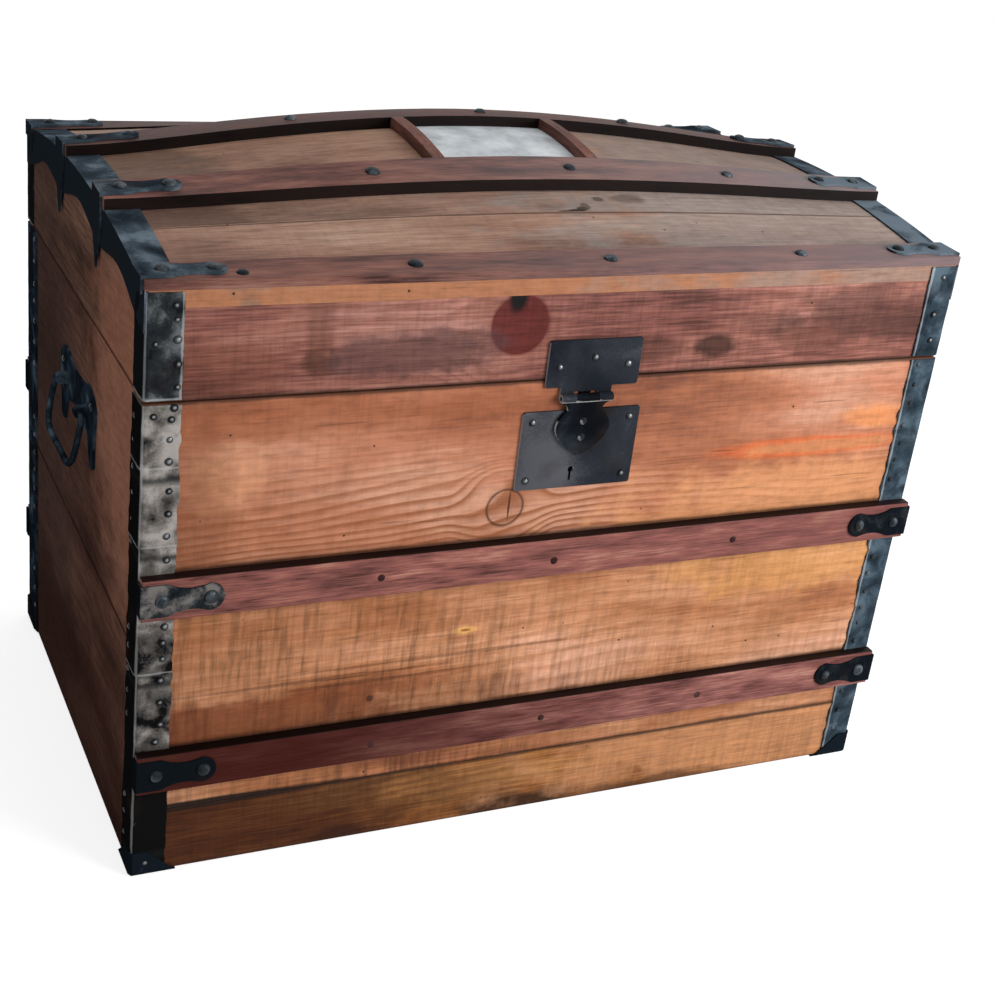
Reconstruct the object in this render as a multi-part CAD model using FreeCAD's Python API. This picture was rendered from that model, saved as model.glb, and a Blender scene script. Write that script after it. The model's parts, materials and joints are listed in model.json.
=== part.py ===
"""Dome top trunk: a boarded chest with a doubly curved, slatted lid and iron fittings.

Millimetres. The origin is on the floor at the middle of the trunk's plan,
+X runs along its length to the right, the front faces -Y and +Z is up.
"""
import FreeCAD, Part
import math
import os

os.makedirs("parts", exist_ok=True)
V = FreeCAD.Vector

# ---- carcass -----------------------------------------------------------------
TRUNK_LENGTH = 800.0        # over the outer faces of the end walls
TRUNK_DEPTH = 496.0         # over the outer faces of the front and back boards
RIM_HEIGHT = 473.5          # carcass rim above the floor
BOARD = 16.0                # wall boards, carcass and lid
BOARD_GAP = 0.6             # open joint between neighbouring boards
LOWER_JOINT_HEIGHT = 70.0   # joint between the lower and middle boards
END_JOINT_HEIGHT = 236.0    # joint between the two boards of an end wall
ARRIS = 3.0                 # eased outer corners and bottom edges of the boards
LEDGER = 18.0               # square ledgers under the bottom planks
PLANK = 14.0                # bottom plank thickness
PLANK_COUNT = 5
FITTING_GAP = 0.5           # planks and ledgers to the walls round them

# ---- lid ---------------------------------------------------------------------
LID_GAP = 1.5               # carcass rim to the lid's lower edge
LID_SIDE_HEIGHT = 80.0      # lid front and back boards
STAVE = 15.0                # thickness of the dome's staves
STAVE_EDGES = (-140.0, -81.0, 76.0, 160.0)   # joints between the five staves
END_RISE = 24.0             # height of the arch at the lid's ends
CROWN_RISE = 29.0           # further swell of the dome towards mid-length
CROWN_LEAN = 0.8            # moves the swell's crest towards the back
SWELL_ACROSS = 1.25         # fullness of the swell from front to back
SWELL_ALONG = 1.5           # fullness of the swell from end to end
BOW_WIDTH = 30.0            # cross bows inside the lid
BOW_HEIGHT = 18.0
BOW_MIDDLE = 27.0           # the middle bow's place along the lid
BOW_PITCH = 192.0
DOME_SEAT = 0.2             # between pieces bent to the dome
SPAN_COUNT = 8                   # stations along a lengthwise piece bent to the dome
ACROSS_COUNT = 5                  # points across it
STAVE_SPAN_COUNT = 10            # the same for the wider staves
STAVE_ACROSS_COUNT = 7

# ---- slats and their clamps ----------------------------------------------------
SLAT_THICKNESS = 12.0       # carcass slats
SLAT_WIDTH = 40.0
UPPER_SLAT_HEIGHT = 297.0   # middle of the upper slats above the floor
LOWER_SLAT_HEIGHT = 118.0
EDGE_SLAT_WIDTH = 41.0      # lid slats along the front and back edges
EDGE_SLAT_THICKNESS = 8.0   # at the lid's edge; the slat is planed so its top lies level
EDGE_SLAT_INNER = 2.0       # thickness left at its inner edge
CROWN_SLAT_WIDTH = 45.0     # the two lid slats bent over the crown
CROWN_SLAT_THICKNESS = 11.0
CROWN_SLAT_OFFSETS = (-81.0, 76.0)
CLAMP_SHEET = 2.0
CLAMP_LENGTH = 74.0
CLAMP_END_HALF = 15.5       # half widths: at the slat's end, waist and lobe
CLAMP_WAIST_HALF = 10.5
CLAMP_LOBE_HALF = 13.0
CLAMP_NAILS = (17.0, 60.0)  # nails along a clamp from the slat's end
CLAMP_DROP = 8.0            # the edge clamps' ends below the dome's end edge
TONGUE_DEPTH = 58.0         # the crown clamps' points below it
TONGUE_SHOULDER = 17.0      # where those points begin
RIB_WIDTH = 12.0            # cross ribs between the crown slats
RIB_PLACES = (-79.0, 84.0)
LABEL_SHEET = 0.6

# ---- sheet iron ------------------------------------------------------------------
SHEET = 1.5
IRON_GAP = 0.2              # between sheet iron and what lies over or under it
CORNER_FLANGE = 31.0        # corner irons, on every face but the one below
BACK_END_FLANGE = 48.0      # back corner irons, on the end walls
CAP_REACH = 42.0            # bottom corner caps along the floor edge
CAP_HEIGHT = 27.0
CAP_FLAT = 13.0             # straight top edge of a cap beside the corner
CAP_FOLD = 2.6              # flat along the inside of a cap's folds
BAND_WIDTH = 29.0           # end bands on the dome
BAND_DROP = 30.0            # mean depth of a band's folded edge down the end
BAND_SCALLOP = 6.0          # ragged depth either side of the mean

# ---- nails -----------------------------------------------------------------------
NAIL_RADIUS = 6.5
NAIL_HEIGHT = 3.5
NAIL_CROWN = 0.55           # flat top of a nail head as a share of its radius
NAIL_SIDE_COUNT = 12
NAIL_SEAT = 0.05            # under the heads on the bent clamps
SMALL_NAIL_RADIUS = 3.6
SMALL_NAIL_HEIGHT = 2.0

# ---- lock and hasp ---------------------------------------------------------------
LOCK_X = 4.0
PLATE = 2.5                 # thickness of the lock plate and the hasp's plate
LOCK_PLATE_WIDTH = 120.0
LOCK_PLATE_HEIGHT = 78.0
LOCK_PLATE_DROP = 29.5      # plate's top edge below the rim
PLATE_NAIL_INSET = 10.0
KEYHOLE_OFFSET = -4.0
KEYHOLE_RISE = 18.0         # above the plate's lower edge
KEYHOLE_RADIUS = 2.9
KEYHOLE_DROP = 11.0
CASE_WIDTH = 68.0
CASE_FOOT_INSET = 6.0       # case inside the plate's lower and upper edges
CASE_TOP_INSET = 4.0
CASE_DEPTH = 12.5
CASE_WALL = 1.5
NOTCH_HALF = 6.5            # slot that the staple leaves by, open at the top
STAPLE_ROD = 2.0            # half the thickness of its square bar
STAPLE_BEND = 3.0           # outer corners of the staple
STAPLE_DROPS = (23.0, 39.0)  # the staple's legs below the hasp's hinge axis
STAPLE_DEPTH = 9.8          # far side of the staple behind the board's face
STAPLE_PLAY = 3.6           # slot below the staple's lower leg
BOLT_HEIGHT = 6.0
BOLT_DEPTH = 4.0
BOLT_INSET = 0.8            # bolt behind the lock plate
BOLT_LENGTH = 21.0
BOLT_STANDOFF = 8.5         # bolt tip to the staple's middle, withdrawn
GUIDE_WIDTH = 12.0
SLIDE_GAP = 0.3
HASP_PLATE_WIDTH = 94.0
HASP_PLATE_HEIGHT = 45.0
HASP_PLATE_OVERHANG = 8.0   # below the lid's lower edge
HASP_PLATE_OFFSET = 5.0     # to the right of the lock's middle
NECK_WIDTH = 52.0
HASP_KNUCKLE = 24.0         # length of the hasp's own knuckle
HASP_PIN_RADIUS = 2.0
HASP_KNUCKLE_RADIUS = 4.25
HASP_STANDOFF = 1.25        # knuckles to the board's front face
HASP_AXIS_DROP = 16.5       # hinge axis below the rim
HASP_SHEET = 3.0
HASP_REST = 0.7             # between the closed hasp and the lock plate
HASP_TOP_HALF = 24.0
HASP_WAIST_HALF = 17.5
HASP_BODY_HALF = 27.5
HASP_LENGTH = 57.0          # hinge axis to the tip
PIN_FIT = 0.05              # radial play of the pins in their knuckles
KNUCKLE_GAP = 0.3           # between neighbouring knuckles

# ---- back hinges -------------------------------------------------------------------
HINGE_PLACES = (-250.0, 250.0)
HINGE_WIDTH = 60.0
HINGE_LEAF = 44.0
HINGE_SHEET = 2.0
HINGE_KNUCKLE = 20.0
HINGE_KNUCKLE_RADIUS = 4.0
HINGE_PIN_RADIUS = 2.0
HINGE_STANDOFF = 0.4        # knuckles to the boards' back face

# ---- end handles -------------------------------------------------------------------
HANDLE_OFFSET = -6.0        # middle of the handles from the trunk's middle, in Y
HANDLE_HEIGHT = 383.0       # the bails' pivot above the floor
HANDLE_SHEET = 2.0
HANDLE_HALF = 78.0
HANDLE_TOP = 27.0           # plate above the pivot
HANDLE_LEG = 50.0           # leg tips below the pivot
EAR_OFFSET = 42.0
EAR_LENGTH = 8.0
EAR_RADIUS = 5.2
HANDLE_NAIL_OFFSET = 61.0   # nails in the plate's wings, from its middle
HANDLE_NAIL_RISE = 12.0     # above the pivot
BAIL_STANDOFF = 7.5         # pivot axis to the plate
BAIL_ROD = 3.0              # radius
BAIL_HALF = 58.0            # arms from the handle's middle
BAIL_DROP = 53.0
BAIL_LEAN = 11.0            # degrees that the bail hangs out from the wall
BAIL_CORNER = 20.0          # bends beside the bar
BAIL_SHOULDER = 9.0         # bends beside the ears
BAIL_TAIL = 3.0             # pin ends inside the ears
BAIL_SIDE_COUNT = 12        # flats round the rod
BAIL_BEND_COUNT = 3         # short straights in each bend

HALF_LENGTH = TRUNK_LENGTH / 2
HALF_DEPTH = TRUNK_DEPTH / 2
FOOT = SHEET                               # the boards stand on the caps' sheet
LID_RIM = RIM_HEIGHT + LID_GAP
LOCK_PLATE_TOP = RIM_HEIGHT - LOCK_PLATE_DROP
LOCK_PLATE_FOOT = LOCK_PLATE_TOP - LOCK_PLATE_HEIGHT
KEYHOLE_HEIGHT = LOCK_PLATE_FOOT + KEYHOLE_RISE
CASE_FOOT = LOCK_PLATE_FOOT + CASE_FOOT_INSET
CASE_TOP = LOCK_PLATE_TOP - CASE_TOP_INSET
HASP_AXIS_HEIGHT = RIM_HEIGHT - HASP_AXIS_DROP
HASP_TIP_HEIGHT = HASP_AXIS_HEIGHT - HASP_LENGTH
STAPLE_LEGS = [HASP_AXIS_HEIGHT - drop for drop in STAPLE_DROPS]
LID_EDGE = LID_RIM + LID_SIDE_HEIGHT + STAVE
BAND_FACE = HALF_LENGTH + SHEET            # outer face of the end bands
HINGE_Y = HALF_DEPTH + HINGE_STANDOFF + HINGE_KNUCKLE_RADIUS
HINGE_Z = RIM_HEIGHT + LID_GAP / 2
HASP_AXIS_Y = -(HALF_DEPTH + HASP_KNUCKLE_RADIUS + HASP_STANDOFF)
HASP_FRONT = -(HALF_DEPTH + PLATE + HASP_REST + HASP_SHEET)


def save(name, *shapes):
    """Write one sub-part; several shapes become a group of separate solids."""
    shape = shapes[0] if len(shapes) == 1 else Part.makeCompound(list(shapes))
    shape.exportStep(f"parts/{name}.step")


def box(x0, x1, y0, y1, z0, z1):
    return Part.makeBox(x1 - x0, y1 - y0, z1 - z0, V(x0, y0, z0))


def cylinder_x(radius, x0, x1, y, z):
    return Part.makeCylinder(radius, x1 - x0, V(x0, y, z), V(1, 0, 0))


def flip_x(shape):
    return shape.mirror(V(0, 0, 0), V(1, 0, 0))


def flip_y(shape):
    return shape.mirror(V(0, 0, 0), V(0, 1, 0))


def ease(shape, radius, picked):
    """Round the straight edges whose middle passes the test."""
    edges = [edge for edge in shape.Edges if picked(edge.CenterOfMass)]
    return shape.makeFillet(radius, edges)


def spline(points):
    curve = Part.BSplineCurve()
    curve.interpolate(points)
    return curve.toShape()


def chain(*edges):
    return Part.Face(Part.Wire(Part.__sortEdges__(list(edges))))


def line(a, b):
    return Part.makeLine(a, b)


def arc(a, b, c):
    return Part.Arc(a, b, c).toShape()


# ---- the dome ------------------------------------------------------------------------
def dome(x, y):
    """Height of the lid's outer surface."""
    across = max(0.0, 1 - (y / HALF_DEPTH) ** 2)
    along = max(0.0, 1 - (x / HALF_LENGTH) ** 2)
    lean = 1 + CROWN_LEAN * y / HALF_DEPTH
    swell = CROWN_RISE * lean * across ** SWELL_ACROSS * along ** SWELL_ALONG
    return LID_EDGE + END_RISE * across + swell


def dome_curve(x, y0, y1, lift, count, end_lift=None):
    """Front-to-back line on the dome, raised by a lift that may change on the way."""
    change = 0.0 if end_lift is None else end_lift - lift
    shares = [i / (count - 1) for i in range(count)]
    places = [(y0 + (y1 - y0) * share, lift + change * share) for share in shares]
    return spline([V(x, y, dome(x, y) + rise) for y, rise in places])


def dome_section(x, y0, y1, low, high, count):
    """Closed outline across a piece; low and high are lifts off the dome at y0 and y1."""
    lower = dome_curve(x, y0, y1, low[0], count, low[1])
    upper = dome_curve(x, y0, y1, high[0], count, high[1])
    front = line(V(x, y0, dome(x, y0) + low[0]), V(x, y0, dome(x, y0) + high[0]))
    back = line(V(x, y1, dome(x, y1) + low[1]), V(x, y1, dome(x, y1) + high[1]))
    return Part.Wire([lower, back, upper, front])


def level(lift):
    """The same lift at both edges of a strip."""
    return lift, lift


def dome_strip(x0, x1, y0, y1, low, high, spans=SPAN_COUNT, count=ACROSS_COUNT):
    """Solid bent to the dome from x0 to x1, between lifts given at its two edges.

    The stations crowd towards both ends, where the bend is sharpest.
    """
    middle, half = (x0 + x1) / 2, (x1 - x0) / 2
    places = [middle - half * math.cos(math.pi * i / spans) for i in range(spans + 1)]
    sections = [dome_section(x, y0, y1, low, high, count) for x in places]
    return Part.makeLoft(sections, True, False)


def plan_block():
    """The trunk's plan with its eased corners, as high as the whole trunk."""
    block = box(-HALF_LENGTH, HALF_LENGTH, -HALF_DEPTH, HALF_DEPTH, 0, 2 * LID_EDGE)
    return ease(block, ARRIS, lambda c: abs(c.x) > HALF_LENGTH - 0.1 and abs(c.y) > HALF_DEPTH - 0.1)


def top_of(shape, x, y):
    """Height of a shape's upper surface over a point."""
    return shape.common(line(V(x, y, 0), V(x, y, 2 * LID_EDGE))).BoundBox.ZMax


def seat_on(shape, x, y, reach):
    """Point on a shape's upper surface, and the direction square to it."""
    along = top_of(shape, x + reach, y) - top_of(shape, x - reach, y)
    across = top_of(shape, x, y + reach) - top_of(shape, x, y - reach)
    return V(x, y, top_of(shape, x, y)), V(-along, -across, 2 * reach)


def lid_staves():
    """Five lengthwise staves, bent and fitted side by side into the dome."""
    plan = plan_block()
    edges = (-HALF_DEPTH,) + STAVE_EDGES + (HALF_DEPTH,)
    for number in range(len(edges) - 1):
        front = edges[number] + (BOARD_GAP / 2 if number else 0.0)
        last = number == len(edges) - 2
        back = edges[number + 1] - (0.0 if last else BOARD_GAP / 2)
        stave = dome_strip(-HALF_LENGTH, HALF_LENGTH, front, back, level(-STAVE), level(0.0),
                           STAVE_SPAN_COUNT, STAVE_ACROSS_COUNT)
        save(f"lid_stave_{number + 1}", stave.common(plan).Solids[0])


def lid_walls():
    """Lid front and back boards, and the arched panels between their ends."""
    top = LID_EDGE - STAVE
    front = box(-HALF_LENGTH, HALF_LENGTH, -HALF_DEPTH, BOARD - HALF_DEPTH, LID_RIM, top)
    front = ease(front, ARRIS, lambda c: c.y < -HALF_DEPTH + 0.1 and abs(c.x) > HALF_LENGTH - 0.1)
    save("lid_front_board", front)
    save("lid_back_board", flip_y(front))

    side = HALF_DEPTH - BOARD
    lift = -STAVE - DOME_SEAT
    crown = dome_curve(-HALF_LENGTH, -side, side, lift, 9)
    corners = [V(-HALF_LENGTH, y, z) for y, z in ((-side, LID_RIM), (side, LID_RIM))]
    edge_top = dome(HALF_LENGTH, side) + lift
    panel = chain(crown,
                  line(corners[0], corners[1]),
                  line(corners[0], V(-HALF_LENGTH, -side, edge_top)),
                  line(corners[1], V(-HALF_LENGTH, side, edge_top))).extrude(V(BOARD, 0, 0))
    save("lid_left_end_panel", panel)
    save("lid_right_end_panel", flip_x(panel))


def lid_bows():
    """Three cross bows that hold the staves up from inside."""
    side = HALF_DEPTH - BOARD - FITTING_GAP
    top = -STAVE - DOME_SEAT
    bows = []
    for step in (-1, 0, 1):
        middle = BOW_MIDDLE + step * BOW_PITCH
        start, end = middle - BOW_WIDTH / 2, middle + BOW_WIDTH / 2
        bows.append(dome_strip(start, end, -side, side, level(top - BOW_HEIGHT), level(top), 2, 13))
    save("lid_bows", *bows)


def lid_slat_list():
    """Name, middle, width and edge thicknesses of the four lengthwise lid slats."""
    edge = HALF_DEPTH - EDGE_SLAT_WIDTH / 2
    front, back = CROWN_SLAT_OFFSETS
    outer, inner = EDGE_SLAT_THICKNESS, EDGE_SLAT_INNER
    crown = level(CROWN_SLAT_THICKNESS)
    return (("lid_slat_front", -edge, EDGE_SLAT_WIDTH, (outer, inner)),
            ("lid_slat_crown_front", front, CROWN_SLAT_WIDTH, crown),
            ("lid_slat_crown_back", back, CROWN_SLAT_WIDTH, crown),
            ("lid_slat_back", edge, EDGE_SLAT_WIDTH, (inner, outer)))


def lid_slats():
    for name, middle, width, thickness in lid_slat_list():
        y0, y1 = middle - width / 2, middle + width / 2
        top = [DOME_SEAT + part for part in thickness]
        save(name, dome_strip(-BAND_FACE, BAND_FACE, y0, y1, level(DOME_SEAT), top))


def crown_gap():
    """The clear space between the two crown slats, front to back."""
    front, back = CROWN_SLAT_OFFSETS
    inset = CROWN_SLAT_WIDTH / 2 + IRON_GAP
    return front + inset, back - inset


def lid_trim():
    """Cross ribs between the crown slats, and the bare label sheet they frame."""
    y0, y1 = crown_gap()
    half = RIB_WIDTH / 2
    seat, top = level(DOME_SEAT), level(DOME_SEAT + CROWN_SLAT_THICKNESS)
    ribs = [dome_strip(x - half, x + half, y0, y1, seat, top, 2) for x in RIB_PLACES]
    save("lid_cross_ribs", *ribs)
    x0 = RIB_PLACES[0] + half + IRON_GAP
    x1 = RIB_PLACES[1] - half - IRON_GAP
    label = dome_strip(x0, x1, y0, y1, seat, level(DOME_SEAT + LABEL_SHEET), 4, 5)
    save("label_sheet", label)


def band_edge(y):
    """Height of an end band's ragged lower edge."""
    start, end = CROWN_SLAT_OFFSETS
    wave = math.cos(2 * math.pi * (y - start) / (end - start))
    return dome(HALF_LENGTH, y) - BAND_DROP - BAND_SCALLOP * wave


def band_flange(y0, y1, lift):
    """One stretch of a band's folded edge, up to a lift off the dome."""
    count = 9
    places = [y0 + (y1 - y0) * step / (count - 1) for step in range(count)]
    lower = spline([V(-BAND_FACE, y, band_edge(y)) for y in places])
    upper = dome_curve(-BAND_FACE, y0, y1, lift, count)
    sides = [line(V(-BAND_FACE, y, band_edge(y)), V(-BAND_FACE, y, dome(HALF_LENGTH, y) + lift))
             for y in (y0, y1)]
    return chain(lower, upper, *sides).extrude(V(SHEET - IRON_GAP / 2, 0, 0))


def end_bands():
    """Sheet iron folded over each end edge of the dome, let in under the slats."""
    under = []
    for _, middle, width, _ in lid_slat_list():
        reach = width / 2 + IRON_GAP
        under.append((max(middle - reach, -HALF_DEPTH), min(middle + reach, HALF_DEPTH)))
    between = [(left[1], right[0]) for left, right in zip(under, under[1:])]
    inner = BAND_WIDTH - HALF_LENGTH
    top = DOME_SEAT + SHEET
    pieces = [band_flange(y0, y1, 0.0) for y0, y1 in under]
    pieces += [band_flange(y0, y1, DOME_SEAT + SHEET / 2) for y0, y1 in between]
    pieces += [dome_strip(-BAND_FACE, inner, y0, y1, level(DOME_SEAT), level(top), 4) for y0, y1 in between]
    band = pieces[0].multiFuse(pieces[1:]).Solids[0]
    save("lid_end_band_left", band)
    save("lid_end_band_right", flip_x(band))


# ---- carcass boards ------------------------------------------------------------------
def front_board(low, high, bottom=False):
    """One front board with eased corners, and an eased bottom edge on the lowest."""
    board = box(-HALF_LENGTH, HALF_LENGTH, -HALF_DEPTH, BOARD - HALF_DEPTH, low, high)
    outer = -HALF_DEPTH + 0.1

    def worn(c):
        end = abs(c.x) > HALF_LENGTH - 0.1
        foot = bottom and c.z < low + 0.1
        return (c.y < outer) + end + foot == 2

    return ease(board, ARRIS, worn)


def carcass_walls():
    half_gap = BOARD_GAP / 2
    lower = front_board(FOOT, LOWER_JOINT_HEIGHT - half_gap, bottom=True)
    middle = front_board(LOWER_JOINT_HEIGHT + half_gap, UPPER_SLAT_HEIGHT - half_gap)
    upper = front_board(UPPER_SLAT_HEIGHT + half_gap, RIM_HEIGHT)
    save("front_board_lower", lower)
    save("front_board_middle", middle)
    save("front_board_upper", upper.cut(lock_mortise()))
    save("back_board_lower", flip_y(lower))
    save("back_board_middle", flip_y(middle))
    save("back_board_upper", flip_y(upper))

    side = HALF_DEPTH - BOARD
    inner = BOARD - HALF_LENGTH
    low = box(-HALF_LENGTH, inner, -side, side, FOOT, END_JOINT_HEIGHT - half_gap)
    low = ease(low, ARRIS, lambda c: c.z < FOOT + 0.1 and c.x < -HALF_LENGTH + 0.1)
    high = box(-HALF_LENGTH, inner, -side, side, END_JOINT_HEIGHT + half_gap, RIM_HEIGHT)
    save("left_end_board_lower", low)
    save("left_end_board_upper", high)
    save("right_end_board_lower", flip_x(low))
    save("right_end_board_upper", flip_x(high))


def bottom():
    """Cross planks on two ledgers along the front and back walls."""
    side = HALF_DEPTH - BOARD - FITTING_GAP
    end = HALF_LENGTH - BOARD - FITTING_GAP
    ledger = box(-end, end, -side, LEDGER - side, FOOT, FOOT + LEDGER)
    save("bottom_ledgers", ledger, flip_y(ledger))
    pitch = 2 * end / PLANK_COUNT
    floor = FOOT + LEDGER
    planks = []
    for index in range(PLANK_COUNT):
        x0 = -end + index * pitch + BOARD_GAP / 2
        planks.append(box(x0, x0 + pitch - BOARD_GAP, -side, side, floor, floor + PLANK))
    save("bottom_planks", *planks)


# ---- sheet iron ------------------------------------------------------------------------
def folded_corner(radius, x_reach, y_reach, grow, low, high):
    """Block at the front left corner, standing proud of the boards by grow."""
    x0, y0 = -HALF_LENGTH - grow, -HALF_DEPTH - grow
    block = box(x0, x_reach - HALF_LENGTH, y0, y_reach - HALF_DEPTH, low, high)
    return ease(block, radius, lambda c: c.x < x0 + 0.1 and c.y < y0 + 0.1)


def corner_iron(low, high, front_flange, end_flange):
    """Angle of sheet iron folded round a corner of the boards."""
    outer = folded_corner(ARRIS + SHEET, front_flange, end_flange, SHEET, low, high)
    inner = folded_corner(ARRIS, TRUNK_LENGTH, TRUNK_DEPTH, 0.0, low - 1, high + 1)
    return outer.cut(inner)


def corner_irons():
    foot = FOOT + ARRIS + 1.0
    front = corner_iron(foot, RIM_HEIGHT - 1.0, CORNER_FLANGE, CORNER_FLANGE)
    save("corner_iron_front_left", front)
    save("corner_iron_front_right", flip_x(front))
    back = flip_y(corner_iron(foot, RIM_HEIGHT - 1.0, CORNER_FLANGE, BACK_END_FLANGE))
    save("corner_irons_back", back, flip_x(back))

    lid = corner_iron(LID_RIM + 1.0, LID_EDGE - 1.0, CORNER_FLANGE, CORNER_FLANGE)
    band_foot = min(band_edge(-HALF_DEPTH), band_edge(CORNER_FLANGE - HALF_DEPTH)) - 1.0
    lid = lid.cut(box(-BAND_FACE - 1, 0.1 - HALF_LENGTH, -HALF_DEPTH - 9, 0, band_foot, LID_EDGE))
    lid = lid.Solids[0]
    save("lid_corner_irons", lid, flip_x(lid), flip_y(lid), flip_x(flip_y(lid)))


def cap_block(flat, grow, foot):
    """Block with hammered flats on its folds, for the inside or outside of a corner cap."""
    x0, y0 = -HALF_LENGTH - grow, -HALF_DEPTH - grow
    block = box(x0, CAP_REACH - HALF_LENGTH, y0, CAP_REACH - HALF_DEPTH, foot, CAP_HEIGHT)
    near = 0.1

    def folded(c):
        return sum((c.x < x0 + near, c.y < y0 + near, c.z < foot + near)) == 2

    return block.makeChamfer(flat, [edge for edge in block.Edges if folded(edge.CenterOfMass)])


def corner_caps():
    """Three-sided caps folded under the bottom corners, cut off on the slant."""
    lift = SHEET + IRON_GAP
    outer = cap_block(CAP_FOLD + IRON_GAP + SHEET / 2, lift + SHEET, 0.0)
    inner = cap_block(CAP_FOLD, lift, SHEET)
    cap = outer.cut(inner)
    reach = CAP_REACH + 1
    lean = CAP_HEIGHT / (CAP_REACH - CAP_FLAT)
    slant_x = [V(CAP_FLAT, 0, CAP_HEIGHT), V(reach, 0, CAP_HEIGHT - lean * (reach - CAP_FLAT)),
               V(reach, 0, CAP_HEIGHT + 1), V(CAP_FLAT, 0, CAP_HEIGHT + 1)]
    slant = Part.Face(Part.makePolygon(slant_x + slant_x[:1])).extrude(V(0, 4 * CAP_REACH, 0))
    slant.translate(V(-HALF_LENGTH, -HALF_DEPTH - 2 * CAP_REACH, 0))
    cross = [V(0, CAP_FLAT, CAP_HEIGHT), V(0, reach, CAP_HEIGHT - lean * (reach - CAP_FLAT)),
             V(0, reach, CAP_HEIGHT + 1), V(0, CAP_FLAT, CAP_HEIGHT + 1)]
    slant_y = Part.Face(Part.makePolygon(cross + cross[:1])).extrude(V(4 * CAP_REACH, 0, 0))
    slant_y.translate(V(-HALF_LENGTH - 2 * CAP_REACH, -HALF_DEPTH, 0))
    floor_cut = [V(CAP_FLAT, reach, -1), V(reach, CAP_FLAT, -1), V(reach, reach, -1)]
    corner = Part.Face(Part.makePolygon(floor_cut + floor_cut[:1])).extrude(V(0, 0, 2 * CAP_HEIGHT))
    corner.translate(V(-HALF_LENGTH, -HALF_DEPTH, 0))
    cap = cap.cut(slant).cut(slant_y).cut(corner)
    cap = max(cap.Solids, key=lambda solid: solid.Volume)
    save("corner_caps", cap, flip_x(cap), flip_y(cap), flip_x(flip_y(cap)))


# ---- slats and clamps on the carcass ---------------------------------------------------
def carcass_slats():
    """Slats with a shallow rebate at each end that clears the corner irons."""
    rebate_start = HALF_LENGTH - CORNER_FLANGE - 1.0
    back_face = -HALF_DEPTH - SHEET - IRON_GAP
    for name, height in (("upper", UPPER_SLAT_HEIGHT), ("lower", LOWER_SLAT_HEIGHT)):
        z0, z1 = height - SLAT_WIDTH / 2, height + SLAT_WIDTH / 2
        slat = box(-HALF_LENGTH, HALF_LENGTH, -HALF_DEPTH - SLAT_THICKNESS, -HALF_DEPTH, z0, z1)
        rebate = box(rebate_start, HALF_LENGTH + 1, back_face, 0, z0 - 1, z1 + 1)
        slat = slat.cut(rebate).cut(flip_x(rebate))
        front = -HALF_DEPTH - SLAT_THICKNESS
        slat = ease(slat, 1.5, lambda c: c.y < front + 0.1 and abs(c.x) < 1)
        save(f"front_slat_{name}", slat)
        save(f"back_slat_{name}", flip_y(slat))


def dog_bone(start):
    """Clamp outline in the XY plane, running inwards from the slat's left end."""
    def at(u, v):
        return V(start + u, v, 0)

    waist = CLAMP_LENGTH * 0.52
    lobe = CLAMP_LENGTH - CLAMP_LOBE_HALF
    shoulder = CLAMP_LENGTH * 0.32
    flanks = [spline([at(shoulder, side * CLAMP_END_HALF),
                      at(waist, side * CLAMP_WAIST_HALF),
                      at(lobe, side * CLAMP_LOBE_HALF)]) for side in (-1, 1)]
    tip = arc(at(lobe, -CLAMP_LOBE_HALF), at(CLAMP_LENGTH, 0), at(lobe, CLAMP_LOBE_HALF))
    edges = [line(at(0, side * CLAMP_END_HALF), at(shoulder, side * CLAMP_END_HALF)) for side in (-1, 1)]
    end = line(at(0, -CLAMP_END_HALF), at(0, CLAMP_END_HALF))
    return chain(end, tip, *edges, *flanks)


def skin(rings):
    """Solid between matching rings of points, closed by flat faces."""
    faces = [Part.Face(Part.makePolygon(ring + ring[:1])) for ring in (rings[0], rings[-1])]
    for lower, upper in zip(rings, rings[1:]):
        for i in range(len(lower)):
            corners = [lower[i - 1], lower[i], upper[i], upper[i - 1]]
            faces.append(Part.Face(Part.makePolygon(corners + corners[:1])))
    return Part.Solid(Part.makeShell(faces))


def turns(count):
    return [2 * math.pi * step / count for step in range(count)]


def nail(place, square, radius=NAIL_RADIUS, height=NAIL_HEIGHT):
    """Hand-forged nail head: a low many-sided button square on the face it holds."""
    levels = ((radius, 0.0), (radius * NAIL_CROWN, height))
    head = skin([[V(size * math.cos(t), size * math.sin(t), level) for t in turns(NAIL_SIDE_COUNT)]
                 for size, level in levels])
    head.Placement = FreeCAD.Placement(place, FreeCAD.Rotation(V(0, 0, 1), square))
    return head


def small_nail(place, square):
    return nail(place, square, SMALL_NAIL_RADIUS, SMALL_NAIL_HEIGHT)


def carcass_clamps():
    """Dog-bone straps folded round the slat ends, two nails in each."""
    face = -HALF_DEPTH - SLAT_THICKNESS
    start = -HALF_LENGTH - CLAMP_SHEET
    clamps, nails = [], []
    for height in (UPPER_SLAT_HEIGHT, LOWER_SLAT_HEIGHT):
        strap = dog_bone(start).extrude(V(0, 0, CLAMP_SHEET))
        strap.rotate(V(0, 0, 0), V(1, 0, 0), 90)
        strap.translate(V(0, face, height))
        back = -HALF_DEPTH - SHEET - IRON_GAP
        half = CLAMP_END_HALF
        end = box(start, -HALF_LENGTH, face - CLAMP_SHEET, back, height - half, height + half)
        left = strap.fuse(end).removeSplitter()
        bend = face - CLAMP_SHEET
        left = ease(left, CLAMP_SHEET * 0.9,
                    lambda c: c.x < start + 0.1 and c.y < bend + 0.1 and abs(c.z - height) < 1)
        heads = [nail(V(along - HALF_LENGTH, bend, height), V(0, -1, 0)) for along in CLAMP_NAILS]
        for shape, group in [(left, clamps)] + [(head, nails) for head in heads]:
            group += [shape, flip_x(shape), flip_y(shape), flip_x(flip_y(shape))]
    save("carcass_slat_clamps", *clamps)
    save("carcass_clamp_nails", *nails)


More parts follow.
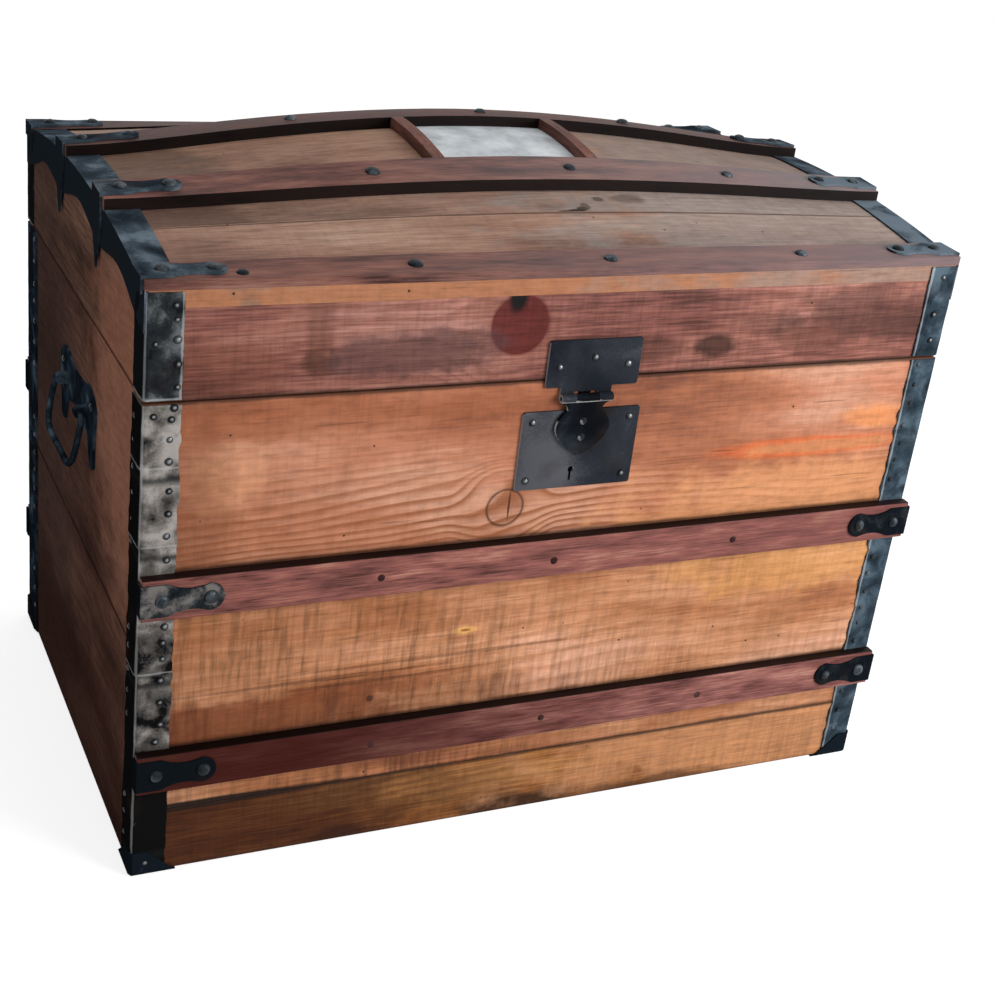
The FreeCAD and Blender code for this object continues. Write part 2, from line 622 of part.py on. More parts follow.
def clamp_end(x, middle, low, high, depth):
    """The folded-down end of a lid clamp; a deep one narrows to a point."""
    half = CLAMP_END_HALF
    left, right = middle - half, middle + half
    edge = dome(HALF_LENGTH, middle)
    top_left, top_right = [dome(HALF_LENGTH, y) + (low[i] + high[i]) / 2
                           for i, y in enumerate((left, right))]
    shoulder = edge - min(depth, TONGUE_SHOULDER)
    foot = [V(x, left, shoulder), V(x, right, shoulder)]
    if depth > TONGUE_SHOULDER:
        foot.insert(1, V(x, middle, edge - depth))
    outline = [V(x, left, top_left)] + foot + [V(x, right, top_right)]
    return Part.Face(Part.makePolygon(outline + outline[:1])).extrude(V(CLAMP_SHEET, 0, 0))


def lid_clamps():
    """Straps bent over the lid slats' ends; the crown pair run down in points."""
    clamps, nails = [], []
    start = -BAND_FACE - IRON_GAP - CLAMP_SHEET
    for _, middle, width, thickness in lid_slat_list():
        low = [part + 2 * DOME_SEAT for part in thickness]
        high = [part + CLAMP_SHEET for part in low]
        outline = dog_bone(start)
        outline.translate(V(0, middle, LID_RIM))
        prism = outline.extrude(V(0, 0, LID_EDGE))
        reach = CLAMP_LENGTH + 2
        sheet = dome_strip(start - 1, start + reach, middle - width / 2, middle + width / 2, low, high, 6)
        strap = sheet.common(prism)

        if thickness[0] == thickness[1]:
            end = clamp_end(start, middle, low, high, TONGUE_DEPTH)
        else:
            end = clamp_end(start, middle, low, high, CLAMP_DROP)
        left = strap.fuse(end).removeSplitter()
        clamps += [left, flip_x(left)]
        for along in CLAMP_NAILS:
            seat, square = seat_on(left, along - HALF_LENGTH, middle, NAIL_RADIUS)
            head = nail(seat + V(0, 0, NAIL_SEAT), square)
            nails += [head, flip_x(head)]
    save("lid_slat_clamps", *clamps)
    save("lid_clamp_nails", *nails)


# ---- lock and hasp -----------------------------------------------------------------------
def staple_floor():
    """Lower end of the slot that the staple swings out of."""
    return STAPLE_LEGS[1] - STAPLE_ROD - STAPLE_PLAY


def lock_mortise():
    """Pocket for the lock case, and the staple's channel up to the rim."""
    half = CASE_WIDTH / 2 + SLIDE_GAP
    back = -HALF_DEPTH + CASE_DEPTH + SLIDE_GAP
    pocket = box(LOCK_X - half, LOCK_X + half, -HALF_DEPTH - 9, back,
                 CASE_FOOT - SLIDE_GAP, CASE_TOP + SLIDE_GAP)
    channel = box(LOCK_X - NOTCH_HALF, LOCK_X + NOTCH_HALF, -HALF_DEPTH - 9, back,
                  CASE_TOP - 5, RIM_HEIGHT + 9)
    return pocket.fuse(channel)


def lock_case():
    """Open-fronted iron tray with guides for the bolt."""
    half = CASE_WIDTH / 2
    back = -HALF_DEPTH + CASE_DEPTH
    tray = box(LOCK_X - half, LOCK_X + half, -HALF_DEPTH, back, CASE_FOOT, CASE_TOP)
    hollow = box(LOCK_X - half + CASE_WALL, LOCK_X + half - CASE_WALL, -HALF_DEPTH - 1,
                 back - CASE_WALL, CASE_FOOT + CASE_WALL, CASE_TOP - CASE_WALL)
    slot = box(LOCK_X - NOTCH_HALF, LOCK_X + NOTCH_HALF, -HALF_DEPTH - 1, back - CASE_WALL,
               CASE_TOP - 9, CASE_TOP + 9)
    bolt_z = sum(STAPLE_LEGS) / 2
    guide_x = LOCK_X + BOLT_STANDOFF + 3.0
    guides = []
    for side in (-1, 1):
        near = bolt_z + side * (BOLT_HEIGHT / 2 + SLIDE_GAP)
        far = near + side * 4.0
        guides.append(box(guide_x, guide_x + GUIDE_WIDTH, -HALF_DEPTH + 1, back - CASE_WALL,
                          min(near, far), max(near, far)))
    save("lock_case", tray.cut(hollow).cut(slot).fuse(guides[0]).fuse(guides[1]))

    bolt_y = -HALF_DEPTH + BOLT_INSET
    x0 = LOCK_X + BOLT_STANDOFF
    bolt = box(x0, x0 + BOLT_LENGTH, bolt_y, bolt_y + BOLT_DEPTH,
               bolt_z - BOLT_HEIGHT / 2, bolt_z + BOLT_HEIGHT / 2)
    talon = box(x0 + 8, x0 + 12, bolt_y - 1, bolt_y + 2, bolt_z - BOLT_HEIGHT, bolt_z)
    save("lock_bolt", bolt.cut(talon))


def lock_plate():
    """Face plate with the keyhole and the staple's open-topped slot."""
    front = -HALF_DEPTH - PLATE
    half = LOCK_PLATE_WIDTH / 2
    plate = box(LOCK_X - half, LOCK_X + half, front, -HALF_DEPTH, LOCK_PLATE_FOOT, LOCK_PLATE_TOP)
    plate = ease(plate, 2.5, lambda c: abs(abs(c.x - LOCK_X) - half) < 0.1
                 and abs(c.y + HALF_DEPTH + PLATE / 2) < 0.1)
    slot = box(LOCK_X - NOTCH_HALF, LOCK_X + NOTCH_HALF, front - 1, 0,
               staple_floor(), LOCK_PLATE_TOP + 9)
    key_x = LOCK_X + KEYHOLE_OFFSET
    key = Part.makeCylinder(KEYHOLE_RADIUS, 3 * PLATE, V(key_x, front - PLATE, KEYHOLE_HEIGHT), V(0, 1, 0))
    half_slot = KEYHOLE_RADIUS * 0.55
    key = key.fuse(box(key_x - half_slot, key_x + half_slot, front - PLATE, 2 * PLATE - HALF_DEPTH,
                       KEYHOLE_HEIGHT - KEYHOLE_DROP, KEYHOLE_HEIGHT))
    save("lock_plate", plate.cut(slot).cut(key))


def hasp_plate():
    """Plate on the lid whose neck ends in the outer knuckles of the hasp's hinge."""
    back = -HALF_DEPTH - KNUCKLE_GAP
    front = back - PLATE
    middle = LOCK_X + HASP_PLATE_OFFSET
    half = HASP_PLATE_WIDTH / 2
    foot = LID_RIM - HASP_PLATE_OVERHANG
    plate = box(middle - half, middle + half, front, back, foot, foot + HASP_PLATE_HEIGHT)
    plate = ease(plate, 2.5, lambda c: abs(abs(c.x - middle) - half) < 0.1
                 and abs(c.y - (front + back) / 2) < 0.1)
    neck_half = NECK_WIDTH / 2
    neck = box(LOCK_X - neck_half, LOCK_X + neck_half, front, back, HASP_AXIS_HEIGHT - 2, foot + 5)
    barrel = cylinder_x(HASP_KNUCKLE_RADIUS, LOCK_X - neck_half, LOCK_X + neck_half,
                        HASP_AXIS_Y, HASP_AXIS_HEIGHT)
    bore = cylinder_x(HASP_PIN_RADIUS + PIN_FIT, LOCK_X - neck_half - 1, LOCK_X + neck_half + 1,
                      HASP_AXIS_Y, HASP_AXIS_HEIGHT)
    gap = HASP_KNUCKLE / 2 + KNUCKLE_GAP
    clear = HASP_KNUCKLE_RADIUS + 1.0
    middle_cut = box(LOCK_X - gap, LOCK_X + gap, HASP_AXIS_Y - 9, back + 1,
                     HASP_AXIS_HEIGHT - 9, HASP_AXIS_HEIGHT + clear)
    shape = plate.fuse(neck).fuse(barrel).cut(bore).cut(middle_cut).removeSplitter()
    save("hasp_plate", shape)


def hasp_outline():
    """Waisted leaf that swells to a round body and tapers to a point."""
    top = HASP_AXIS_HEIGHT - HASP_KNUCKLE_RADIUS - 0.6
    waist = top - 7.5
    belly = top - 24.0
    y = HASP_FRONT

    def at(x, z):
        return V(LOCK_X + x, y, z)

    edges = [line(at(-HASP_TOP_HALF, top), at(HASP_TOP_HALF, top))]
    for side in (-1, 1):
        edges.append(arc(at(side * HASP_TOP_HALF, top),
                         at(side * (HASP_WAIST_HALF + 1.6), top - 2.8),
                         at(side * HASP_WAIST_HALF, waist)))
        edges.append(spline([at(side * HASP_WAIST_HALF, waist),
                             at(side * (HASP_BODY_HALF - 3.0), belly + 9.0),
                             at(side * HASP_BODY_HALF, belly),
                             at(side * (HASP_BODY_HALF - 10.0), belly - 17.0),
                             at(0, HASP_TIP_HEIGHT)]))
    return chain(*edges)


def hasp():
    """Hasp, its pin, and the staple riveted through it."""
    leaf = hasp_outline().extrude(V(0, HASP_SHEET, 0))
    half = HASP_KNUCKLE / 2
    tab = box(LOCK_X - half, LOCK_X + half, HASP_FRONT, HASP_FRONT + HASP_SHEET,
              HASP_AXIS_HEIGHT - 8, HASP_AXIS_HEIGHT)
    barrel = cylinder_x(HASP_KNUCKLE_RADIUS, LOCK_X - half, LOCK_X + half, HASP_AXIS_Y, HASP_AXIS_HEIGHT)
    bore = cylinder_x(HASP_PIN_RADIUS + PIN_FIT, LOCK_X - HASP_KNUCKLE, LOCK_X + HASP_KNUCKLE,
                      HASP_AXIS_Y, HASP_AXIS_HEIGHT)
    shape = leaf.fuse(tab).fuse(barrel).cut(bore)
    for height in STAPLE_LEGS:
        reach = STAPLE_ROD + PIN_FIT
        hole = box(LOCK_X - reach, LOCK_X + reach, HASP_FRONT - 1, HASP_FRONT + 2 * HASP_SHEET,
                   height - reach, height + reach)
        shape = shape.cut(hole)
    save("hasp", shape.removeSplitter())
    neck_half = NECK_WIDTH / 2
    save("hasp_pin", cylinder_x(HASP_PIN_RADIUS, LOCK_X - neck_half, LOCK_X + neck_half,
                                HASP_AXIS_Y, HASP_AXIS_HEIGHT))

    high, low = STAPLE_LEGS[0] + STAPLE_ROD, STAPLE_LEGS[1] - STAPLE_ROD
    far = -HALF_DEPTH + STAPLE_DEPTH
    x0, x1 = LOCK_X - STAPLE_ROD, LOCK_X + STAPLE_ROD
    bar = box(x0, x1, HASP_FRONT, far, low, high)
    bar = ease(bar, STAPLE_BEND, lambda c: c.y > far - 0.1 and abs(c.x - LOCK_X) < 0.1)
    bar_side = 2 * STAPLE_ROD
    loop = box(x0 - 1, x1 + 1, HASP_FRONT - 1, far - bar_side, low + bar_side, high - bar_side)
    staple = bar.cut(loop)
    for height in STAPLE_LEGS:
        staple = staple.fuse(small_nail(V(LOCK_X, HASP_FRONT, height), V(0, -1, 0)))
    save("hasp_staple", staple)


def plate_nails():
    """Small nails of the lock plate, the hasp's plate and the end handle plates."""
    front = -HALF_DEPTH - PLATE
    across = LOCK_PLATE_WIDTH / 2 - PLATE_NAIL_INSET
    heights = (LOCK_PLATE_FOOT + PLATE_NAIL_INSET, LOCK_PLATE_TOP - PLATE_NAIL_INSET)
    nails = [small_nail(V(LOCK_X + side * across, front, height), V(0, -1, 0))
             for side in (-1, 1) for height in heights]
    face = -HALF_LENGTH - HANDLE_SHEET
    for side in (-1, 1):
        y = HANDLE_OFFSET + side * HANDLE_NAIL_OFFSET
        head = small_nail(V(face, y, HANDLE_HEIGHT + HANDLE_NAIL_RISE), V(-1, 0, 0))
        nails += [head, flip_x(head)]
    save("plate_nails", *nails)
    lid_front = -HALF_DEPTH - KNUCKLE_GAP - PLATE
    middle = LOCK_X + HASP_PLATE_OFFSET
    foot = LID_RIM - HASP_PLATE_OVERHANG
    places = ((-35.0, 20.0), (0.0, 28.0), (35.0, 20.0))
    heads = [small_nail(V(middle + x, lid_front, foot + z), V(0, -1, 0)) for x, z in places]
    save("hasp_plate_nails", *heads)


# ---- back hinges ---------------------------------------------------------------------------
def hinge_leaf(place, up):
    """One leaf; the body leaf has the outer knuckles, the lid leaf the middle one."""
    half = HINGE_WIDTH / 2
    root = HINGE_KNUCKLE_RADIUS * 0.5
    reach = HINGE_LEAF
    low, high = (HINGE_Z + root, HINGE_Z + reach) if up else (HINGE_Z - reach, HINGE_Z - root)
    leaf = box(place - half, place + half, HALF_DEPTH, HALF_DEPTH + HINGE_SHEET, low, high)
    barrel = cylinder_x(HINGE_KNUCKLE_RADIUS, place - half, place + half, HINGE_Y, HINGE_Z)
    bore = cylinder_x(HINGE_PIN_RADIUS + PIN_FIT, place - half - 1, place + half + 1, HINGE_Y, HINGE_Z)
    shape = leaf.fuse(barrel).cut(bore)
    clear = HINGE_KNUCKLE_RADIUS + 0.6
    inner = HINGE_KNUCKLE / 2
    y0, y1 = HALF_DEPTH - 1, HINGE_Y + clear
    if up:
        for side in (-1, 1):
            edges = sorted((place + side * inner, place + side * (half + 1)))
            shape = shape.cut(box(edges[0], edges[1], y0, y1, HINGE_Z - clear, HINGE_Z + clear))
    else:
        gap = inner + KNUCKLE_GAP
        shape = shape.cut(box(place - gap, place + gap, y0, y1, HINGE_Z - clear, HINGE_Z + clear))
    return shape.removeSplitter()


def hinges():
    save("carcass_hinge_leaves", *[hinge_leaf(place, False) for place in HINGE_PLACES])
    save("lid_hinge_leaves", *[hinge_leaf(place, True) for place in HINGE_PLACES])
    half = HINGE_WIDTH / 2
    save("hinge_pins", *[cylinder_x(HINGE_PIN_RADIUS, place - half, place + half, HINGE_Y, HINGE_Z)
                         for place in HINGE_PLACES])


# ---- end handles ---------------------------------------------------------------------------
def handle_outline(x):
    """Winged plate with a leg under each ear, hollowed between the legs."""
    wing, top, leg = HANDLE_HALF, HANDLE_TOP, HANDLE_LEG

    def at(y, z):
        return V(x, HANDLE_OFFSET + y, HANDLE_HEIGHT + z)

    edges = [arc(at(-0.4 * wing, top - 4), at(0, top - 7), at(0.4 * wing, top - 4)),
             arc(at(-wing + 34, -0.5 * leg), at(0, -0.3 * leg), at(wing - 34, -0.5 * leg))]
    for side in (-1, 1):
        edges += [arc(at(side * 0.4 * wing, top - 4), at(side * 0.75 * wing, top),
                      at(side * wing, top - 14)),
                  line(at(side * wing, top - 14), at(side * (wing - 6), -0.5 * leg)),
                  line(at(side * (wing - 6), -0.5 * leg), at(side * (wing - 7), -0.88 * leg)),
                  arc(at(side * (wing - 7), -0.88 * leg), at(side * (wing - 16), -leg),
                      at(side * (wing - 26), -0.88 * leg)),
                  line(at(side * (wing - 26), -0.88 * leg), at(side * (wing - 34), -0.5 * leg))]
    return chain(*edges)


def handles():
    face = -HALF_LENGTH - HANDLE_SHEET
    axis_x = face - BAIL_STANDOFF
    plate = handle_outline(-HALF_LENGTH).extrude(V(-HANDLE_SHEET, 0, 0))
    for side in (-1, 1):
        y0 = HANDLE_OFFSET + side * EAR_OFFSET - EAR_LENGTH / 2
        ear = Part.makeCylinder(EAR_RADIUS, EAR_LENGTH, V(axis_x, y0, HANDLE_HEIGHT), V(0, 1, 0))
        root = box(axis_x, face + 1, y0, y0 + EAR_LENGTH,
                   HANDLE_HEIGHT - EAR_RADIUS, HANDLE_HEIGHT + EAR_RADIUS)
        bore = Part.makeCylinder(BAIL_ROD + PIN_FIT, EAR_LENGTH + 2,
                                 V(axis_x, y0 - 1, HANDLE_HEIGHT), V(0, 1, 0))
        plate = plate.fuse(ear.fuse(root).cut(bore))
    plate = plate.removeSplitter()
    save("left_handle_plate", plate)
    save("right_handle_plate", flip_x(plate))

    bail = bail_rod(axis_x)
    bail.rotate(V(axis_x, 0, HANDLE_HEIGHT), V(0, 1, 0), BAIL_LEAN)
    save("left_bail", bail)
    save("right_bail", flip_x(bail))


def bail_rod(x):
    """Forged rod bent in one plane: pins turned in through the ears, arms, and the bar."""
    pivot, foot = HANDLE_HEIGHT, HANDLE_HEIGHT - BAIL_DROP

    def bend(y, z, radius, start):
        """Points round a quarter bend, turning from outwards and up towards inwards and down."""
        steps = [start - math.pi / 2 * i / BAIL_BEND_COUNT for i in range(BAIL_BEND_COUNT + 1)]
        return [V(0, y + radius * math.cos(t), z + radius * math.sin(t)) for t in steps]

    half = [V(0, EAR_OFFSET - EAR_LENGTH / 2 - BAIL_TAIL, pivot)]
    half += bend(BAIL_HALF - BAIL_SHOULDER, pivot - BAIL_SHOULDER, BAIL_SHOULDER, math.pi / 2)
    half += bend(BAIL_HALF - BAIL_CORNER, foot + BAIL_CORNER, BAIL_CORNER, 0.0)
    path = half + [V(0, -p.y, p.z) for p in reversed(half)]
    runs = [(b - a).normalize() for a, b in zip(path, path[1:])]
    rings = []
    for point, before, after in zip(path, runs[:1] + runs, runs + runs[-1:]):
        mitre = (before + after).normalize()
        out = V(0, -mitre.z, mitre.y) / mitre.dot(after)
        centre = V(x, HANDLE_OFFSET, 0) + point
        rings.append([centre + out * (BAIL_ROD * math.cos(t)) + V(BAIL_ROD * math.sin(t), 0, 0)
                      for t in turns(BAIL_SIDE_COUNT)])
    return skin(rings)


carcass_walls()
bottom()
corner_irons()
corner_caps()
carcass_slats()
carcass_clamps()
lock_case()
lock_plate()
hinges()
handles()
plate_nails()
lid_walls()
lid_staves()
lid_bows()
lid_slats()
lid_trim()
end_bands()
lid_clamps()
hasp_plate()
hasp()
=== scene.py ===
"""A dome top trunk of aged pine, stained slats and black sheet iron, with its wear and nails."""
import json
import math
import random

import bmesh
import bpy
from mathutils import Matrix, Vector, noise
from mathutils.bvhtree import BVHTree


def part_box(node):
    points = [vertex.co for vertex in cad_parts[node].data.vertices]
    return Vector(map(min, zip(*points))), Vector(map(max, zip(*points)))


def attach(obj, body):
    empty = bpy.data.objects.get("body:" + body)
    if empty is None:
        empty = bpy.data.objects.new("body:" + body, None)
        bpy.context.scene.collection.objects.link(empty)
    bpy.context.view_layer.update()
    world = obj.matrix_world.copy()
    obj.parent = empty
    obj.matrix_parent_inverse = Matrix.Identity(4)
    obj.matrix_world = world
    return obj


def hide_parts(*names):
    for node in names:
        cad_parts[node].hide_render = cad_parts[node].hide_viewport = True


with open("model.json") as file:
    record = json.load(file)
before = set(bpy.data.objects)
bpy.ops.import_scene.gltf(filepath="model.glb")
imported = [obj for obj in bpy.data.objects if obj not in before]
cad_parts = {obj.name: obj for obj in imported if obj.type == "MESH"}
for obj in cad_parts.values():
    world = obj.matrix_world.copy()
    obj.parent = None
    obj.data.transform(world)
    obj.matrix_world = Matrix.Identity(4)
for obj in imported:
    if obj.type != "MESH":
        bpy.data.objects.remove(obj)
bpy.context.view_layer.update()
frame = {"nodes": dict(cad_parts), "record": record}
nodes = frame["nodes"]
body_of = {name: body for body, names in frame["record"]["behaviour"]["bodies"].items()
           for name in names}

# ---- Carcass boards --------------------------------------------------------------------
# Softwood boards straight from the saw, stained once, then rubbed back and waxed by age.
# Nailed up as an open box: three boards to the front and back, two to each end.


def tone(code):
    """An sRGB hex colour, turned to the linear values a shader takes."""
    parts = [int(code[i:i + 2], 16) / 255 for i in (1, 3, 5)]
    return (*[c / 12.92 if c <= 0.04045 else ((c + 0.055) / 1.055) ** 2.4 for c in parts], 1.0)


def add(tree, kind, links=None, stops=None, **settings):
    """Add one node to a tree. Links maps its sockets to values or sources; stops fill a ramp."""
    whole_name = kind.startswith(("Geometry", "Function"))
    item = tree.nodes.new(kind if whole_name else "ShaderNode" + kind)
    for name, value in settings.items():
        setattr(item, name, value)
    for key, value in (links or {}).items():
        if isinstance(key, str):
            socket = next(s for s in item.inputs if s.name == key and s.enabled)
        else:
            socket = item.inputs[key]
        if isinstance(value, bpy.types.Node):
            value = next(s for s in value.outputs if s.enabled)
        if isinstance(value, bpy.types.NodeSocket):
            tree.links.new(value, socket)
        else:
            colour = isinstance(value, str) and value.startswith("#")
            socket.default_value = tone(value) if colour else value
    if stops:
        points = item.color_ramp.elements
        points[0].position, points[1].position = stops[0][0], stops[-1][0]
        for place, _ in stops[1:-1]:
            points.new(place)
        for point, (_, value) in zip(points, stops):
            point.color = tone(value) if isinstance(value, str) else (value, value, value, 1.0)
    return item


def blank(name):
    """A new material with its shader tree, and the tree's surface shader."""
    material = bpy.data.materials.new(name)
    material.use_nodes = True
    return material, material.node_tree, material.node_tree.nodes["Principled BSDF"]


def blotch(tree, place, centre, radii, ragged):
    """How deep a point lies in a ragged oval mark: one in its middle, nothing outside it."""
    size = [1 / r if r else 0.0 for r in radii]
    moved = add(tree, "VectorMath", {0: place, 1: [-c for c in centre]}, operation="ADD")
    scaled = add(tree, "VectorMath", {0: moved, 1: size}, operation="MULTIPLY")
    reach = add(tree, "VectorMath", {0: scaled}, operation="LENGTH").outputs["Value"]
    reach = add(tree, "Math", {0: ragged, 1: 0.9, 2: reach}, operation="MULTIPLY_ADD")
    return add(tree, "MapRange", {0: reach, 1: 1.65, 2: 0.75, 3: 0.0, 4: 1.0},
               interpolation_type="SMOOTHSTEP")


def along_grain(tree, place, along, shift):
    """A function that scales a place so a pattern's cells are that long and wide, in metres."""
    def stretched(length, width):
        scale = [1 / width] * 3
        scale[along] = 1 / length
        return add(tree, "Mapping", {"Vector": place, "Location": shift, "Scale": scale})
    return stretched


def spread(tones, start, reach):
    """A ramp's stops: the tones at even steps, from start over reach."""
    return [(start + reach * i / (len(tones) - 1), code) for i, code in enumerate(tones)]


def aged_pine(name, tones, ring_tone, along=0, across=2, seed=0.0, ring_pitch=0.0085, swirl=7.0,
              ring_depth=0.5, saw=0.3, saw_pitch=0.0042, stains_and_painted_light=(), knots=(), edges=(),
              inward=(0, 0, 0), rough=0.6, sheen_level=0.12, fibres=0.4, ring_zone=None,
              saw_zone=None):
    """Aged pine. Tones run from stain lying in the pores to rubbed wood; places are in metres.

    Growth rings show as long wavering lines a ring pitch apart, saw marks cross them. Between
    the two places of ring_zone across the board the rings fade out, and along it, between the
    two of saw_zone, the saw marks.
    """
    material, tree, shader = blank(name)
    place = add(tree, "TexCoord").outputs["Object"]
    parts = add(tree, "SeparateXYZ", {0: place})
    over = parts.outputs[across]
    stretched = along_grain(tree, place, along, [seed * 7.3, seed * 3.1, seed * 5.7])
    drift = add(tree, "TexNoise", {"Vector": stretched(0.42, 0.11), "Scale": 1.0, "Detail": 1.5})
    broad = add(tree, "TexNoise", {"Vector": stretched(0.30, 0.075), "Scale": 1.0, "Detail": 4.0})
    fibre = add(tree, "TexNoise", {"Vector": stretched(0.045, 0.0019), "Scale": 1.0, "Detail": 4.0})
    mottle = add(tree, "TexNoise", {"Vector": stretched(0.016, 0.006), "Scale": 1.0, "Detail": 5.0,
                                    "Roughness": 0.62})
    teeth = add(tree, "TexNoise", {"Vector": stretched(saw_pitch, 0.055), "Scale": 1.0,
                                   "Detail": 4.0, "Roughness": 0.65})
    grime = add(tree, "TexNoise", {"Vector": stretched(0.05, 0.035), "Scale": 1.0, "Detail": 6.0,
                                   "Roughness": 0.62})

    # growth rings, bent round each knot
    lines = add(tree, "Math", {0: over, 1: 1 / ring_pitch}, operation="MULTIPLY")
    lines = add(tree, "Math", {0: drift, 1: swirl, 2: lines}, operation="MULTIPLY_ADD")
    knot_depths = []
    for centre, radius, knot_tone, fill in knots:
        reach = [radius] * 3
        reach[3 - along - across] = 0.0
        depth = blotch(tree, place, centre, reach, add(tree, "Math", {0: broad, 1: 0.3},
                                                       operation="MULTIPLY"))
        halo = blotch(tree, place, centre, [2.6 * r for r in reach], 0.0)
        side = add(tree, "Math", {0: over, 1: centre[across]}, operation="SUBTRACT")
        side = add(tree, "Math", {0: side, 1: 0.9 / ring_pitch}, operation="MULTIPLY")
        lines = add(tree, "Math", {0: add(tree, "Math", {0: halo, 1: side}, operation="MULTIPLY"),
                                   1: -0.8, 2: lines}, operation="MULTIPLY_ADD")
        knot_depths.append((depth, knot_tone, fill))
    lines = add(tree, "Math", {0: lines}, operation="FRACT")
    rings = add(tree, "ValToRGB", {"Fac": lines},
                stops=((0.0, 0.0), (0.35, 0.05), (0.8, 1.0), (0.93, 0.75), (1.0, 0.0)))
    shown = add(tree, "MapRange", {0: broad, 1: 0.38, 2: 0.62, 3: 0.45, 4: 1.0})
    shown = add(tree, "Math", {0: shown, 1: ring_depth}, operation="MULTIPLY")
    rings = add(tree, "Math", {0: rings, 1: shown}, operation="MULTIPLY")
    if ring_zone:
        zone = add(tree, "MapRange", {0: over, 1: ring_zone[0], 2: ring_zone[1], 3: 1.0, 4: 0.25})
        rings = add(tree, "Math", {0: rings, 1: zone}, operation="MULTIPLY")

    # broad tones and rings
    mix = add(tree, "Math", {0: fibre, 1: 0.88 * fibres, 2: broad}, operation="MULTIPLY_ADD")
    colour = add(tree, "ValToRGB", {"Fac": mix},
                 stops=spread(tones, 0.325 + 0.44 * fibres, 0.32))
    colour = add(tree, "Mix", {"Factor": rings, "A": colour, "B": ring_tone}, data_type="RGBA")

    # marks of use, soaked in under the grain, patches of painted shade and painted sheen, and dirt
    # along the board's edges
    crack_tone = "#2c1a12"
    ragged = add(tree, "Math", {0: grime, 1: 0.5}, operation="SUBTRACT")
    ragged = add(tree, "Math", {0: ragged, 1: 3.2}, operation="MULTIPLY")
    for depth, code, fill in knot_depths:
        core = add(tree, "ValToRGB", {"Fac": depth},
                   stops=((0.0, 0.0), (0.16, 0.95), (0.34, fill), (1.0, fill)))
        colour = add(tree, "Mix", {"Factor": core, "A": colour, "B": code}, data_type="RGBA")
    for centre, radii, code, strength, *frayed in stains_and_painted_light:
        fray = add(tree, "Math", {0: ragged, 1: frayed[0] if frayed else 1.0}, operation="MULTIPLY")
        depth = blotch(tree, place, centre, radii, fray)
        depth = add(tree, "Math", {0: depth, 1: strength}, operation="MULTIPLY")
        colour = add(tree, "Mix", {"Factor": depth, "A": colour, "B": code}, data_type="RGBA")
    for edge, width in edges:
        away = add(tree, "Math", {0: over, 1: edge}, operation="SUBTRACT")
        away = add(tree, "Math", {0: away}, operation="ABSOLUTE")
        away = add(tree, "Math", {0: ragged, 1: 0.35 * width, 2: away}, operation="MULTIPLY_ADD")
        near = add(tree, "MapRange", {0: away, 1: width, 2: 0.15 * width, 3: 0.0, 4: 0.8},
                   interpolation_type="SMOOTHSTEP")
        colour = add(tree, "Mix", {"Factor": near, "A": colour, "B": crack_tone}, data_type="RGBA")

    # fibres and saw marks, then drying cracks along the grain
    streak = add(tree, "ValToRGB", {"Fac": fibre}, stops=((0.3, 0.5), (0.5, 1.0), (0.7, 1.2)))
    colour = add(tree, "Mix", {"Factor": fibres, "A": colour, "B": streak}, data_type="RGBA",
                 blend_type="MULTIPLY")
    spots = add(tree, "ValToRGB", {"Fac": mottle}, stops=((0.32, 0.72), (0.5, 1.0), (0.68, 1.14)))
    colour = add(tree, "Mix", {"Factor": 0.6, "A": colour, "B": spots}, data_type="RGBA",
                 blend_type="MULTIPLY")
    bands = add(tree, "TexNoise", {"Vector": stretched(4.5 * saw_pitch, 0.09), "Scale": 1.0,
                                   "Detail": 2.0})
    bite = add(tree, "Math", {0: bands, 1: 0.45, 2: teeth}, operation="MULTIPLY_ADD")
    cuts = add(tree, "ValToRGB", {"Fac": bite}, stops=((0.58, 0.45), (0.72, 1.0), (0.88, 1.4)))
    worn = add(tree, "MapRange", {0: drift, 1: 0.35, 2: 0.65, 3: 0.4 * saw, 4: saw})
    if saw_zone:
        zone = add(tree, "MapRange", {0: parts.outputs[along], 1: saw_zone[0], 2: saw_zone[1],
                                      3: 1.0, 4: 0.35})
        worn = add(tree, "Math", {0: worn, 1: zone}, operation="MULTIPLY")
    colour = add(tree, "Mix", {"Factor": worn, "A": colour, "B": cuts}, data_type="RGBA",
                 blend_type="MULTIPLY")
    splits = add(tree, "TexNoise", {"Vector": stretched(0.085, 0.0030), "Scale": 1.0,
                                    "Detail": 2.0})
    splits = add(tree, "MapRange", {0: splits, 1: 0.68, 2: 0.76, 3: 0.0, 4: 0.4})
    colour = add(tree, "Mix", {"Factor": splits, "A": colour, "B": crack_tone}, data_type="RGBA")
    specks = add(tree, "TexVoronoi", {"Vector": place, "Scale": 46.0})
    dots = add(tree, "MapRange", {0: specks, 1: 0.075, 2: 0.03, 3: 0.0, 4: 1.0})
    pick = add(tree, "SeparateColor", {0: specks.outputs["Color"]})
    pick = add(tree, "Math", {0: pick, 1: 0.8}, operation="GREATER_THAN")
    dots = add(tree, "Math", {0: dots, 1: pick}, operation="MULTIPLY")
    colour = add(tree, "Mix", {"Factor": dots, "A": colour, "B": "#24140d"}, data_type="RGBA")

    # the face turned to the inside was never stained
    if any(inward):
        facing = add(tree, "VectorMath", {0: add(tree, "TexCoord").outputs["Normal"], 1: inward},
                     operation="DOT_PRODUCT").outputs["Value"]
        inside = add(tree, "Math", {0: facing, 1: 0.5}, operation="GREATER_THAN")
        bare = add(tree, "ValToRGB", {"Fac": mix}, stops=((0.45, "#a07c57"), (0.8, "#c9a67a")))
        bare = add(tree, "Mix", {"Factor": rings, "A": bare, "B": "#94693f"}, data_type="RGBA")
        colour = add(tree, "Mix", {"Factor": inside, "A": colour, "B": bare}, data_type="RGBA")
    tree.links.new(colour.outputs[2], shader.inputs["Base Color"])

